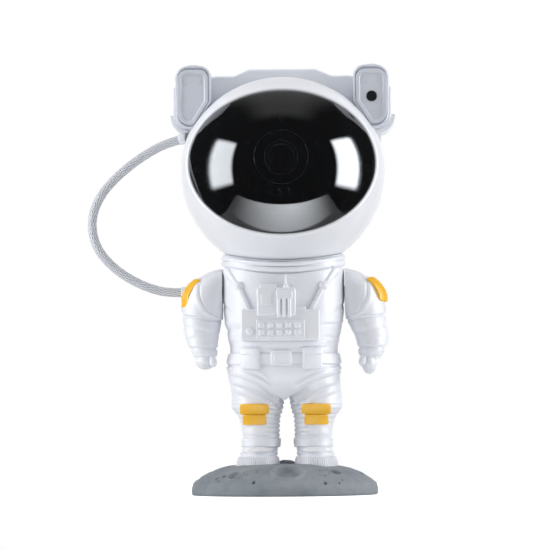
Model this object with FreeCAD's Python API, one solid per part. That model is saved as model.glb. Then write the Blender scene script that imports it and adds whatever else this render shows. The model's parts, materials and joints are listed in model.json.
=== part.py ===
"""Desk planetarium projector in the form of a standing astronaut.

Millimetres, +Z up. The figure faces -Y, so "left" is -X and "right" is +X as seen from the front.
The origin is the centre of the rubber pad that the moon-shaped base stands on.
Every piece is one STEP file in parts/, named for the node it makes.
"""

import FreeCAD
import Part
import math
import os

from FreeCAD import Matrix, Placement, Rotation, Vector

# ---------------------------------------------------------------- driving dimensions
HEAD_Z = 171.5  # centre of the helmet, and of the ball seat it turns in
HEAD_R = 54.0  # helmet radius below and around its equator
CROWN_H = 48.0  # helmet height above its equator
CROWN_SIDE_R = 44.0  # arc from the equator up, where the crown begins to flatten
WALL = 2.2  # moulded shell wall
SEAM_Y = 6.0  # front and rear helmet shells meet in this plane
HELMET_SCREWS = [(sx * 33.0, HEAD_Z + dz) for sx in (-1, 1) for dz in (-25.0, 22.0)]  # x, z
SCREW_HEAD_Y = 24.0  # the helmet screws' heads sit in wells that end here

VISOR_Z = 175.8  # centre of the visor opening
VISOR_HALF_W = 49.35
VISOR_HALF_H = 37.9
VISOR_GAP = 0.25  # visor edge to opening edge
VISOR_RECESS = 1.0  # visor face below the helmet's surface
VISOR_WALL = 1.6

SEAT_GAP = 0.4  # helmet to collar
CUP_GAP = 0.6  # helmet to the turning cup
RUNNING = 0.05  # radial clearance of a pin that turns in a bore

OPTIC_Z = 176.0  # height of the projection lens axis
LENS_R = 8.6  # projection lens
REAR_LENS_R = 5.8  # condenser lens
BARREL_FRONT_Y = -46.5
BARREL_R = 11.6
BARREL_BORE_R = 8.0
BARREL_POSTS = [(-18.0, 185.0), (18.0, 185.0), (0.0, 197.0)]  # x, z
FLANGE_FRONT_Y = -23.8  # flange that the barrel is screwed on by
FLANGE_BACK_Y = -21.75
WHEEL_Z = 166.0  # height of the gear train's axes
GEAR_MODULE = 0.6
RIPPLE_TEETH = 56
PINION_TEETH = 14
STAR_TEETH = 28
PRESSURE_ANGLE = math.radians(20)
ADDENDUM = 0.8 * GEAR_MODULE
DEDENDUM = 1.15 * GEAR_MODULE
BACKLASH = 0.14
GEAR_FRONT_Y = -18.5
GEAR_THICK = 3.0
PINION_X = GEAR_MODULE * (RIPPLE_TEETH + PINION_TEETH) / 2
STAR_X = -GEAR_MODULE * (RIPPLE_TEETH + STAR_TEETH) / 2
PLATE_FRONT_Y = -13.5  # optics bracket
PLATE_THICK = 2.0
BRACKET_END_X = 44.0  # the bracket's screws into the helmet's lugs
BOARD_BACK_Y = 31.6  # control board
BOARD_POST_X = 22.0

SHOULDER_Z = 107.0  # arm axis
SHOULDER_FACE_X = 32.5  # inner face of the arm
AXLE_R = 3.0
AXLE_OUTER_X = 43.8
ARM_SECTIONS = [  # z, centre x, centre y, half width, half depth
    (74.6, 41.6, -6.6, 5.9, 6.4),
    (78.5, 42.6, -5.2, 7.5, 8.2),
    (84.0, 43.4, -3.6, 8.9, 9.8),
    (91.5, 43.0, -1.8, 10.3, 11.0),
    (99.5, 41.8, -0.4, 11.6, 12.0),
    (107.0, 40.0, 0.0, 12.4, 12.4),
    (112.0, 38.6, 0.0, 11.0, 11.2),
    (116.0, 37.2, 0.0, 8.2, 8.6),
    (118.6, 36.0, 0.0, 4.6, 5.2),
]
LEFT_ARM_LEANS = [0.0] * len(ARM_SECTIONS)  # how far each section stands out further
RIGHT_ARM_LEANS = [4.3, 4.0, 3.0, 0.8, 0.0, 0.0, 0.0, 0.0, 0.0]
BADGE_HEIGHT = 0.45  # shoulder badge above the arm's skin
BADGE_DEPTH = 0.6
BADGE_HALF_W = 10.4
BADGE_HALF_H = 7.0

CUP_R = 15.0  # turning cup under the helmet
CUP_BOTTOM_Z = 113.8
MAGNET_R = 11.0
MAGNET_BORE_R = 5.0
MAGNET_TOP_Z = 115.9
RING_R = 14.0  # friction ring
RING_BORE_R = 12.2
RING_BOTTOM_Z = 116.9
NECK_PLATE_Z = 111.3
NECK_PLATE_THICK = 2.2

TORSO_TOP_Z = 118.8
TORSO_BOTTOM_Z = 50.5
SECTION_POWER = 2.4  # superellipse exponent of the torso's plan
SECTION_POINTS = 24
TORSO_SECTIONS = [  # z, half width, front depth, back depth
    (TORSO_BOTTOM_Z, 26.5, 15.5, 15.0),
    (54.5, 29.3, 20.0, 18.5),
    (61.0, 30.4, 23.6, 21.5),
    (69.0, 29.6, 24.6, 21.8),
    (77.0, 28.3, 24.8, 21.6),
    (85.0, 29.8, 25.8, 22.4),
    (95.0, 31.6, 26.6, 24.0),
    (107.0, 32.0, 26.2, 25.0),
    (TORSO_TOP_Z, 31.8, 25.6, 25.6),
]
TORSO_SEAM_Y = 0.0
TORSO_SCREWS = [(-16.0, 66.5), (16.0, 66.5), (-19.5, 98.0), (19.5, 98.0)]  # x, z
PANEL_FRONT_Y = -28.4  # chest unit's lower plate
DECK_FRONT_Y = -29.6  # its upper deck
KEY_FRONT_Y = -29.9
PACK_REAR_Y = 36.0  # backpack

LEG_SECTIONS = [  # z, centre x, centre y, half width, half depth
    (28.2, 13.5, 0.2, 10.0, 10.8),
    (32.5, 13.7, 0.0, 10.2, 11.2),
    (38.0, 14.2, 0.0, 10.9, 12.0),
    (45.0, 15.0, 0.0, 12.6, 13.6),
    (50.4, 15.6, 0.0, 14.0, 14.6),
]
KNEE_HEIGHT = 0.9  # knee pad above the leg's skin
KNEE_DEPTH = 0.8
BOOT_SECTIONS = [  # as for the leg
    (15.6, 15.4, -2.6, 10.9, 15.0),
    (19.0, 15.2, -2.4, 10.4, 14.2),
    (22.5, 14.6, -1.2, 9.9, 12.2),
    (25.2, 13.9, 0.0, 10.4, 11.4),
    (28.15, 13.6, 0.2, 10.5, 11.3),
]
LEG_SCREW_X = 14.5
LEG_POST_R = 3.4  # post round the leg's long screw
LEG_HOLE_R = 1.6

BASE_TOP_Z = 16.4
BASE_PROFILE = [  # radius, z
    (49.0, 0.9),
    (49.2, 3.2),
    (48.6, 7.2),
    (44.6, 10.9),
    (36.0, 14.0),
    (25.0, 16.0),
    (12.0, BASE_TOP_Z),
    (0.0, BASE_TOP_Z),
]
CRATERS = [  # x, y, width of the mouth, depth
    (3.6, -33.0, 13.6, 2.0),
    (30.0, -24.0, 6.0, 1.2),
    (-27.0, -30.0, 6.5, 0.9),
    (-33.0, 14.0, 11.0, 1.6),
    (10.0, 33.0, 15.0, 2.0),
    (-8.0, 40.0, 6.0, 1.0),
    (37.0, 12.0, 8.0, 1.3),
]
BASE_SCREWS = [(sx * 26.9, sy * 26.9) for sx in (-1, 1) for sy in (-1, 1)]  # x, y
COVER_R = 46.3  # bottom cover
COVER_BOTTOM_Z = 0.9
COVER_TOP_Z = 3.1
PAD_R = 42.0
PAD_TOP_Z = 0.9

HOUSING_FRONT_Y = 7.0
HOUSING_REAR_Y = 60.0
HOUSING_HALF_W = 37.6
HOUSING_BOTTOM_Z = 159.5
HOUSING_TOP_Z = 226.0
CUT_GAP = 0.15  # housing and pods to the helmet's skin

POD_FRONT_Y = -8.0
POD_REAR_Y = 46.0
POD_WALL = 1.8
CAP_FRONT_Y = -9.9
CAP_PANEL_Y = -9.3  # panel sunk into the cap
CAP_INSET = 1.3  # cap's edge inside the pod's outline
CAP_PANEL_INSET = 3.4
CAP_X = 47.9  # middle of the cap
CAP_SCREWS = [(-3.9, 217.4), (4.0, 217.4), (0.4, 202.4)]  # x from the cap's middle, z
RECEIVER_Z = 209.7
RECEIVER_R = 2.85
CRADLE_GROW = 1.8  # helmet's cradle outside the pod's outline

BUTTON_XS = {"star_button": -16.0, "power_button": 0.0, "nebula_button": 16.0}
BUTTON_Z = 197.0
BUTTON_R = 4.3
BUTTON_GAP = 0.2

HOSE_D = 4.8
# Control points of the hose's centre line, from the arm to high on its loop, and on to the head.
HOSE_LOWER = [
    (-52.8, 0.0, 107.0),
    (-61.0, 0.0, 107.0),
    (-69.3, 0.2, 108.9),
    (-77.5, 0.5, 112.3),
    (-85.4, 0.9, 117.0),
    (-92.3, 1.4, 122.7),
    (-97.6, 2.0, 129.3),
    (-100.7, 2.7, 136.7),
    (-101.4, 3.4, 144.7),
    (-99.8, 4.1, 152.5),
    (-95.7, 4.8, 160.3),
    (-89.4, 5.4, 167.4),
    (-85.95, 5.65, 170.5),
]
HOSE_UPPER = [
    (-85.95, 5.65, 170.5),
    (-82.5, 5.9, 173.6),
    (-75.2, 6.2, 178.9),
    (-68.0, 6.2, 183.3),
    (-60.8, 5.9, 186.5),
    (-53.8, 5.4, 188.4),
]
SOCKET_R = 2.9  # sleeve of the hose's sockets
HOSE_ARC_SHARE = 0.45  # of the shorter run beside a corner

PARTS = "parts"


# ---------------------------------------------------------------- small helpers
def mirrored(shape):
    """The same shape on the other side of the plane x = 0."""
    return shape.mirror(Vector(0, 0, 0), Vector(1, 0, 0))


def box(x, y, z):
    """A block between the pairs of limits x, y and z."""
    corner = Vector(x[0], y[0], z[0])
    return Part.makeBox(x[1] - x[0], y[1] - y[0], z[1] - z[0], corner)


def rod_y(radius, x, z, y0, y1):
    """A cylinder along Y."""
    return Part.makeCylinder(radius, y1 - y0, Vector(x, y0, z), Vector(0, 1, 0))


def rod_x(radius, y, z, x0, x1):
    """A cylinder along X."""
    return Part.makeCylinder(radius, x1 - x0, Vector(x0, y, z), Vector(1, 0, 0))


def rod_z(radius, x, y, z0, z1):
    """A cylinder along Z."""
    return Part.makeCylinder(radius, z1 - z0, Vector(x, y, z0))


def oval_y(half_w, half_h, z, y0, y1):
    """An elliptical prism along Y, centred on x = 0."""
    oval = Part.Ellipse(Vector(0, 0, 0), half_w, half_h).toShape()
    face = Part.Face(Part.Wire(oval))
    face.rotate(Vector(0, 0, 0), Vector(1, 0, 0), 90)
    face.translate(Vector(0, y0, z))
    return face.extrude(Vector(0, y1 - y0, 0))


def oval_z(half_x, half_y, x, y, z0, z1):
    """An elliptical prism along Z."""
    turned = half_y > half_x
    major, minor = (half_y, half_x) if turned else (half_x, half_y)
    oval = Part.Ellipse(Vector(0, 0, 0), major, minor).toShape()
    face = Part.Face(Part.Wire(oval))
    if turned:
        face.rotate(Vector(0, 0, 0), Vector(0, 0, 1), 90)
    face.translate(Vector(x, y, z0))
    return face.extrude(Vector(0, 0, z1 - z0))


def rounded_wire(corners):
    """A closed wire in the XZ plane through (x, z, radius) corners, each rounded by its radius."""
    count = len(corners)
    edges, ends = [], []
    for i, (x, z, radius) in enumerate(corners):
        here = Vector(x, 0, z)
        back = (Vector(corners[i - 1][0], 0, corners[i - 1][1]) - here).normalize()
        ahead = corners[(i + 1) % count]
        on = (Vector(ahead[0], 0, ahead[1]) - here).normalize()
        half = back.getAngle(on) / 2
        cut = radius / math.tan(half)
        middle = here + (back + on).normalize() * (radius / math.sin(half) - radius)
        ends.append((here + back * cut, middle, here + on * cut))
    for i, (start, middle, end) in enumerate(ends):
        last = ends[i - 1][2]
        if (start - last).Length > 1e-6:
            edges.append(Part.LineSegment(last, start).toShape())
        edges.append(Part.Arc(start, middle, end).toShape())
    return Part.Wire(edges)


def slab_y(corners, y0, y1):
    """The rounded outline of corners as a slab between y0 and y1."""
    face = Part.Face(rounded_wire(corners))
    face.translate(Vector(0, y0, 0))
    return face.extrude(Vector(0, y1 - y0, 0))


def inset(corners, distance):
    """Convex corners moved inwards by distance, with their radii reduced to suit."""
    count = len(corners)
    lines = []
    middle_x = sum(c[0] for c in corners) / count
    middle_z = sum(c[1] for c in corners) / count
    for i in range(count):
        ax, az, _ = corners[i]
        bx, bz, _ = corners[(i + 1) % count]
        nx, nz = az - bz, bx - ax
        size = math.hypot(nx, nz)
        nx, nz = nx / size, nz / size
        if (middle_x - ax) * nx + (middle_z - az) * nz < 0:
            nx, nz = -nx, -nz
        lines.append((nx, nz, nx * ax + nz * az + distance))
    found = []
    for i in range(count):
        a, b, e = lines[i - 1]
        c, d, f = lines[i]
        det = a * d - b * c
        radius = max(corners[i][2] - 1.3 * max(distance, 0), 0.5)
        found.append(((e * d - b * f) / det, (a * f - e * c) / det, radius))
    return found


def dome(offset):
    """The helmet's outer form grown by offset: a half ball, and a crown of two arcs that meet smoothly."""
    side_x = HEAD_R - CROWN_SIDE_R
    top_r = (side_x**2 + CROWN_H**2 - CROWN_SIDE_R**2) / (2 * (CROWN_H - CROWN_SIDE_R))
    top_z = CROWN_H - top_r
    meeting = math.atan2(-top_z, side_x)  # slope of both arcs' radii where they meet
    ball_r, side_r, cap_r = HEAD_R + offset, CROWN_SIDE_R + offset, top_r + offset

    def arc(x, z, radius, first, last):
        angles = (first, (first + last) / 2, last)
        return Part.Arc(*[Vector(x + radius * math.cos(a), 0, z + radius * math.sin(a)) for a in angles])

    bowl = arc(0, 0, ball_r, -math.pi / 2, 0)
    side = arc(side_x, 0, side_r, 0, meeting)
    cap = arc(0, top_z, cap_r, meeting, math.pi / 2)
    axis = Part.LineSegment(Vector(0, 0, top_z + cap_r), Vector(0, 0, -ball_r))
    face = Part.Face(Part.Wire([edge.toShape() for edge in (bowl, side, cap, axis)]))
    solid = face.revolve(Vector(0, 0, 0), Vector(0, 0, 1), 360)
    solid.translate(Vector(0, 0, HEAD_Z))
    return solid


def ball(radius, x, y, z):
    """A ball."""
    return Part.makeSphere(radius, Vector(x, y, z))


def oval_loft(sections):
    """A solid through level ellipses, each (z, centre x, centre y, half x, half y)."""
    wires = []
    for z, x, y, half_x, half_y in sections:
        points = []
        for i in range(SECTION_POINTS):
            a = 2 * math.pi * i / SECTION_POINTS
            points.append(Vector(x + half_x * math.cos(a), y + half_y * math.sin(a), z))
        curve = Part.BSplineCurve()
        curve.interpolate(Points=points, PeriodicFlag=True)
        wires.append(Part.Wire(curve.toShape()))
    return Part.makeLoft(wires, True, False)


def screw(head_r, head_h, shank_r, length):
    """A pan-head screw that points along +Z, with the top of its head at z = 0 and a cross recess."""
    shape = Part.makeCylinder(head_r, head_h)
    shape = shape.fuse(Part.makeCylinder(shank_r, length, Vector(0, 0, head_h)))
    arm, deep = head_r * 0.62, head_h * 0.5
    slot = head_r * 0.22
    recess = Part.makeBox(2 * arm, 2 * slot, deep, Vector(-arm, -slot, 0))
    recess = recess.fuse(Part.makeBox(2 * slot, 2 * arm, deep, Vector(-slot, -arm, 0)))
    return shape.cut(recess)


def pointed(shape, place, direction):
    """A shape made along +Z, turned to point along direction and moved to place."""
    turn = Rotation(Vector(0, 0, 1), direction)
    moved = shape.copy()
    moved.Placement = Placement(place, turn)
    return moved


# ---------------------------------------------------------------- helmet
def pod_corners():
    """Front outline of the right ear pod."""
    return [
        (38.2, 226.4, 6.0),
        (57.6, 226.4, 7.0),
        (57.6, 193.0, 9.0),
        (46.6, 193.0, 3.5),
        (38.2, 207.0, 4.0),
    ]


def housing_corners():
    """Outline of the grey rear housing, seen from the front."""
    right = [
        (17.6, 224.9, 2.0),
        (25.7, 221.2, 2.0),
        (HOUSING_HALF_W, 221.2, 1.0),
        (HOUSING_HALF_W, 176.0, 8.0),
        (26.0, HOUSING_BOTTOM_Z, 8.0),
    ]
    return right + [(-x, z, r) for x, z, r in reversed(right)]


def helmet_front_shell():
    """White front shell with the visor opening, screw bosses and the side lugs that carry the optics."""
    shell = dome(0).cut(dome(-WALL)).common(helmet_slice(-70, SEAM_Y))
    shell = shell.cut(oval_y(VISOR_HALF_W, VISOR_HALF_H, VISOR_Z, -70, 0))
    for x, z in HELMET_SCREWS:
        stem = rod_y(3.6, x, z, -9.0, SEAM_Y).fuse(
            box((min(x, x * 1.4), max(x, x * 1.4)), (-2.0, SEAM_Y), (z - 1.2, z + 1.2))
        )
        shell = shell.fuse(stem.common(dome(-0.5)))
        shell = shell.cut(rod_y(1.35, x, z, -7.0, SEAM_Y + 1))
    for side in (-1, 1):
        lug = rod_y(2.8, side * BRACKET_END_X, HEAD_Z, PLATE_FRONT_Y + PLATE_THICK, SEAM_Y)
        web = box(sorted((side * BRACKET_END_X, side * 53.0)), (-9.0, SEAM_Y), (HEAD_Z - 1, HEAD_Z + 1))
        shell = shell.fuse(lug.fuse(web).common(dome(-0.5)))
        shell = shell.cut(rod_y(1.0, side * BRACKET_END_X, HEAD_Z, PLATE_FRONT_Y, 2.0))
    return shell.cut(head_socket_hole())


def helmet_slice(y0, y1):
    """A block that takes in all of the helmet between y0 and y1."""
    return box((-70, 70), (y0, y1), (100, 240))


def ear_cradle():
    """White cradle on the right of the rear shell that hugs the underside of the ear pod."""
    outline = inset(pod_corners(), -CRADLE_GROW)
    cradle = slab_y(outline, SEAM_Y, 40.0).common(box((42, 62), (0, 50), (185, 201)))
    cradle = cradle.cut(slab_y(inset(pod_corners(), -0.1), 0, 50))
    foot = box((44.0, 52.0), (SEAM_Y, 40.0), (186.5, 193.0)).common(dome(3.2))
    foot = foot.cut(slab_y(inset(pod_corners(), -0.1), 0, 50))
    return cradle.fuse(foot).cut(dome(-0.5))


def helmet_rear_shell():
    """White rear shell with screw wells, ear cradles, the hose socket's hole and a cable slot."""
    shell = dome(0).cut(dome(-WALL)).common(helmet_slice(SEAM_Y, 70))
    for x, z in HELMET_SCREWS:
        shell = shell.fuse(rod_y(4.2, x, z, SEAM_Y, 60).common(dome(-0.5)))
    for side in (-1, 1):
        shell = shell.fuse(rod_y(2.4, side * BOARD_POST_X, HEAD_Z, BOARD_BACK_Y, 60).common(dome(-0.5)))
    cradle = ear_cradle()
    shell = shell.fuse(cradle).fuse(mirrored(cradle))
    for x, z in HELMET_SCREWS:
        shell = shell.cut(rod_y(1.6, x, z, 0, 60)).cut(rod_y(3.1, x, z, SCREW_HEAD_Y, 70))
    shell = shell.cut(box((-6, 6), (30, 60), (HEAD_Z + 29, HEAD_Z + 35)))
    return shell.cut(head_socket_hole())


def helmet_screws():
    """Four screws that hold the shells together."""
    one = screw(2.8, 2.0, 1.3, 25.0)
    return [pointed(one, Vector(x, SCREW_HEAD_Y + 2.0, z), Vector(0, -1, 0)) for x, z in HELMET_SCREWS]


def visor():
    """Smoked dome that fills the opening, with a flange behind its edge."""
    front = helmet_slice(-70, -5)
    outer, inner = -VISOR_RECESS, -VISOR_RECESS - VISOR_WALL
    pane = dome(outer).cut(dome(inner)).common(front)
    pane = pane.common(oval_y(VISOR_HALF_W - VISOR_GAP, VISOR_HALF_H - VISOR_GAP, VISOR_Z, -70, 0))
    flange = dome(-WALL - 0.3).cut(dome(-WALL - 1.8)).common(front)
    flange = flange.common(oval_y(49.4, 40.0, VISOR_Z, -70, 0))
    flange = flange.cut(oval_y(46.0, 34.5, VISOR_Z, -70, 0))
    return pane.fuse(flange)


def housing_slope(inwards):
    """Space under the slope that leads from the housing's back up to its top, moved inwards."""
    top = HOUSING_TOP_Z
    side = [(0, 150), (HOUSING_REAR_Y, 150), (HOUSING_REAR_Y, top - 20.0), (40.0, top), (0, top)]
    face = Part.Face(Part.makePolygon([Vector(-50, y, z) for y, z in side + side[:1]]))
    block = face.extrude(Vector(100, 0, 0))
    block.translate(Vector(0, -inwards, -0.3 * inwards))
    return block


def rear_housing():
    """Grey hollow housing that straddles the rear shell and carries the buttons."""
    outer = slab_y(housing_corners(), HOUSING_FRONT_Y, HOUSING_REAR_Y)
    outer = outer.common(housing_slope(0))
    hollow = slab_y(inset(housing_corners(), WALL), HOUSING_FRONT_Y + WALL, HOUSING_REAR_Y - WALL)
    shell = outer.cut(hollow.common(housing_slope(WALL))).cut(dome(CUT_GAP))
    for x in BUTTON_XS.values():
        shell = shell.cut(rod_y(BUTTON_R + BUTTON_GAP, x, BUTTON_Z, 50, 70))
    for x, z in HELMET_SCREWS:
        shell = shell.cut(rod_y(3.6, x, z, 20, 57))
    for x in (-8.0, 8.0):
        shell = shell.fuse(rod_y(1.5, x, BUTTON_Z, 52.8, 58.0))
    return shell


def ear_pod():
    """Hollow grey pod on the right, with two raised ribs along it."""
    outer = slab_y(pod_corners(), POD_FRONT_Y, POD_REAR_Y)
    top_rib = box((44.6, 50.4), (-3.0, 40.0), (225.5, 227.2))
    side_rib = box((56.5, 58.4), (-3.0, 40.0), (213.0, 216.4))
    hollow = slab_y(inset(pod_corners(), POD_WALL), POD_FRONT_Y - 1, POD_REAR_Y - 2.0)
    pod = outer.fuse(top_rib).fuse(side_rib).cut(hollow).cut(dome(CUT_GAP))
    housing = slab_y(housing_corners(), HOUSING_FRONT_Y - 0.1, 80)
    wide = box((0, HOUSING_HALF_W + CUT_GAP), (0, 80), (100, 240))
    return pod.cut(housing).cut(wide)


def pod_cap(with_window):
    """Front plate of the right pod with a sunk panel, three screw wells and a spigot behind."""
    inner = inset(pod_corners(), CAP_PANEL_INSET)
    cap = slab_y(inset(pod_corners(), CAP_INSET), CAP_FRONT_Y, POD_FRONT_Y - 0.05)
    cap = cap.cut(slab_y(inner, CAP_FRONT_Y - 1, CAP_PANEL_Y))
    spigot = slab_y(inset(pod_corners(), POD_WALL + 0.2), POD_FRONT_Y - 0.5, POD_FRONT_Y + 2.0)
    cap = cap.fuse(spigot.cut(slab_y(inner, POD_FRONT_Y, POD_FRONT_Y + 3)))
    for dx, z in CAP_SCREWS:
        cap = cap.cut(rod_y(1.25, CAP_X + dx, z, CAP_FRONT_Y - 1, CAP_PANEL_Y + 0.6))
        cap = cap.cut(rod_y(0.65, CAP_X + dx, z, CAP_FRONT_Y - 1, POD_FRONT_Y + 3))
    if with_window:
        cap = cap.cut(rod_y(RECEIVER_R + 0.1, CAP_X, RECEIVER_Z, CAP_FRONT_Y - 1, POD_FRONT_Y + 3))
    return cap.cut(dome(CUT_GAP))


def cap_screws():
    """Six small screws, three in each pod cap."""
    one = screw(1.15, 0.7, 0.55, 4.5)
    solids = []
    for side in (-1, 1):
        for dx, z in CAP_SCREWS:
            place = Vector(side * (CAP_X + dx), CAP_PANEL_Y - 0.1, z)
            solids.append(pointed(one, place, Vector(0, 1, 0)))
    return Part.makeCompound(solids)


def remote_receiver():
    """Dark receiver of the remote control, with its round face in the right pod's cap."""
    front, back = CAP_FRONT_Y + 0.1, POD_FRONT_Y + 0.5
    dish_r = 9.0
    face = ball(dish_r, CAP_X, front + dish_r - 0.2, RECEIVER_Z)
    face = face.fuse(rod_y(RECEIVER_R, CAP_X, RECEIVER_Z, front + 0.5, back))
    window = rod_y(RECEIVER_R, CAP_X, RECEIVER_Z, front, back).common(face)
    return window.fuse(box((CAP_X - 2.6, CAP_X + 2.6), (-8.0, -4.0), (RECEIVER_Z - 2.8, RECEIVER_Z + 2.8)))


def push_button(x):
    """A button cap with a collar that keeps it in the housing and a stem that reaches the switch."""
    cap = rod_y(BUTTON_R, x, BUTTON_Z, 57.4, HOUSING_REAR_Y + 1.0)
    rim = [e for e in cap.Edges if e.BoundBox.YMin > HOUSING_REAR_Y]
    cap = cap.makeFillet(0.5, rim)
    collar = rod_y(BUTTON_R + 1.0, x, BUTTON_Z, 56.4, 57.5)
    stem = rod_y(1.4, x, BUTTON_Z, 55.6, 56.6)
    return cap.fuse(collar).fuse(stem)


def button_board():
    """Board under the buttons, with three tactile switches."""
    board = box((-24, 24), (51.6, 52.8), (BUTTON_Z - 5.5, BUTTON_Z + 7.0))
    for x in BUTTON_XS.values():
        board = board.fuse(box((x - 3, x + 3), (52.8, 54.3), (BUTTON_Z - 3, BUTTON_Z + 3)))
    return board


# ---------------------------------------------------------------- optics and drive
def gear_slab(teeth, x, z, tooth_angle, y0, y1):
    """A spur gear's toothed disc about the axis (x, z) along Y, with a tooth centred on tooth_angle."""
    pitch_r = GEAR_MODULE * teeth / 2
    base_r = pitch_r * math.cos(PRESSURE_ANGLE)
    tip_r, root_r = pitch_r + ADDENDUM, pitch_r - DEDENDUM
    involute = math.tan(PRESSURE_ANGLE) - PRESSURE_ANGLE
    half = math.pi / (2 * teeth) - BACKLASH / (4 * pitch_r) + involute

    def place(radius, angle):
        return Vector(x + radius * math.cos(angle), 0, z + radius * math.sin(angle))

    start_r = max(root_r, base_r)
    steps = 5
    flank = []
    for k in range(steps):
        radius = start_r + (tip_r - start_r) * k / (steps - 1)
        roll = math.acos(min(1.0, base_r / radius))
        flank.append((radius, half - (math.tan(roll) - roll)))
    edges, corners = [], []
    for n in range(teeth):
        middle = tooth_angle + 2 * math.pi * n / teeth
        up = [place(r, middle - a) for r, a in flank]
        down = [place(r, middle + a) for r, a in reversed(flank)]
        foot_in = place(root_r, middle - flank[0][1])
        foot_out = place(root_r, middle + flank[0][1])
        corners.append((foot_in, up, down, foot_out))
    for n, (foot_in, up, down, foot_out) in enumerate(corners):
        if start_r > root_r + 1e-6:
            edges.append(Part.LineSegment(foot_in, up[0]).toShape())
        for side in (up, down):
            curve = Part.BSplineCurve()
            curve.interpolate(side)
            edges.append(curve.toShape())
            if side is up:
                edges.append(Part.LineSegment(up[-1], down[0]).toShape())
        if start_r > root_r + 1e-6:
            edges.append(Part.LineSegment(down[-1], foot_out).toShape())
        edges.append(Part.LineSegment(foot_out, corners[(n + 1) % teeth][0]).toShape())
    face = Part.Face(Part.Wire(edges))
    face.translate(Vector(0, y0, 0))
    return face.extrude(Vector(0, y1 - y0, 0))


def ripple_wheel():
    """Moulded wheel with a toothed rim and a thin rippled window that the lamp shines through."""
    back = GEAR_FRONT_Y + GEAR_THICK
    wheel = gear_slab(RIPPLE_TEETH, 0, WHEEL_Z, 0.0, GEAR_FRONT_Y, back)
    wheel = wheel.cut(rod_y(15.0, 0, WHEEL_Z, GEAR_FRONT_Y - 1, back + 1))
    pane = rod_y(15.2, 0, WHEEL_Z, GEAR_FRONT_Y + 0.9, GEAR_FRONT_Y + 2.1)
    hub = rod_y(3.4, 0, WHEEL_Z, -21.3, back + 0.6)
    wheel = wheel.fuse(pane).fuse(hub)
    for k in range(9):
        a = 2 * math.pi * k / 9
        reach = 7.2 + 1.6 * (k % 2)
        bump = ball(3.0, reach * math.cos(a), GEAR_FRONT_Y + 3.1, WHEEL_Z + reach * math.sin(a))
        wheel = wheel.cut(bump)
    return wheel.cut(rod_y(1.5 + RUNNING, 0, WHEEL_Z, -30, 0))


def motor_pinion():
    """Pinion on its motor shaft."""
    turned = math.pi + math.pi / PINION_TEETH
    teeth = gear_slab(PINION_TEETH, PINION_X, WHEEL_Z, turned, GEAR_FRONT_Y - 0.5, -15.0)
    return teeth.fuse(rod_y(1.0, PINION_X, WHEEL_Z, GEAR_FRONT_Y - 1.5, -4.0))


def drive_motor():
    """Small can motor with a front bearing boss and two terminals."""
    can = rod_y(7.0, PINION_X, WHEEL_Z, PLATE_FRONT_Y + PLATE_THICK + 0.05, 6.0)
    boss = rod_y(2.6, PINION_X, WHEEL_Z, PLATE_FRONT_Y - 0.2, PLATE_FRONT_Y + PLATE_THICK + 0.1)
    motor = can.fuse(boss)
    for dz in (-3.5, 3.5):
        z = WHEEL_Z + dz
        motor = motor.fuse(box((PINION_X - 0.9, PINION_X + 0.9), (5.5, 8.5), (z - 0.3, z + 0.3)))
    return motor.cut(rod_y(1.0 + RUNNING, PINION_X, WHEEL_Z, -30, -3.5))


def star_wheel():
    """Toothed ring that carries the star grating in front of the laser."""
    back = GEAR_FRONT_Y + GEAR_THICK
    wheel = gear_slab(STAR_TEETH, STAR_X, WHEEL_Z, math.pi / STAR_TEETH, GEAR_FRONT_Y, back)
    nose = rod_y(5.6, STAR_X, WHEEL_Z, GEAR_FRONT_Y - 2.4, GEAR_FRONT_Y + 0.5)
    wheel = wheel.fuse(nose)
    wheel = wheel.cut(rod_y(4.0 + RUNNING, STAR_X, WHEEL_Z, GEAR_FRONT_Y - 1.4, 0))
    return wheel


def laser_module():
    """Brass laser barrel that sits in the bracket's hollow post."""
    body = rod_y(2.5, STAR_X, WHEEL_Z, GEAR_FRONT_Y - 0.6, 3.0)
    body = body.fuse(rod_y(3.3, STAR_X, WHEEL_Z, 2.0, 9.0))
    return body.cut(rod_y(1.0, STAR_X, WHEEL_Z, GEAR_FRONT_Y - 1, GEAR_FRONT_Y + 3))


def optics_bracket():
    """Black plate across the helmet that carries the lamp, gears, laser and lens barrel."""
    outline = [
        (30.0, 201.0, 5.0), (34.0, 178.0, 2.0), (46.5, 175.5, 2.0), (46.5, 167.5, 2.0),
        (34.0, 160.0, 2.0), (30.0, 150.0, 5.0), (-30.0, 150.0, 5.0), (-34.0, 160.0, 2.0),
        (-46.5, 167.5, 2.0), (-46.5, 175.5, 2.0), (-34.0, 178.0, 2.0), (-30.0, 201.0, 5.0),
    ]
    back = PLATE_FRONT_Y + PLATE_THICK
    plate = slab_y(outline, PLATE_FRONT_Y, back)
    post = rod_y(4.0, STAR_X, WHEEL_Z, GEAR_FRONT_Y - 0.9, back)
    plate = plate.fuse(post)
    plate = plate.fuse(rod_y(1.5, 0, WHEEL_Z, -21.0, back))
    for x, z in BARREL_POSTS:
        plate = plate.fuse(rod_y(2.2, x, z, FLANGE_BACK_Y + 0.05, back))
        plate = plate.cut(rod_y(0.8, x, z, -22, -15))
    plate = plate.cut(rod_y(2.5, STAR_X, WHEEL_Z, -30, 0))
    plate = plate.cut(rod_y(2.6, PINION_X, WHEEL_Z, -30, 0))
    plate = plate.cut(rod_y(REAR_LENS_R + RUNNING, 0, OPTIC_Z, -30, 0))
    for side in (-1, 1):
        plate = plate.cut(rod_y(1.25, side * BRACKET_END_X, HEAD_Z, -30, 0))
    return plate


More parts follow.
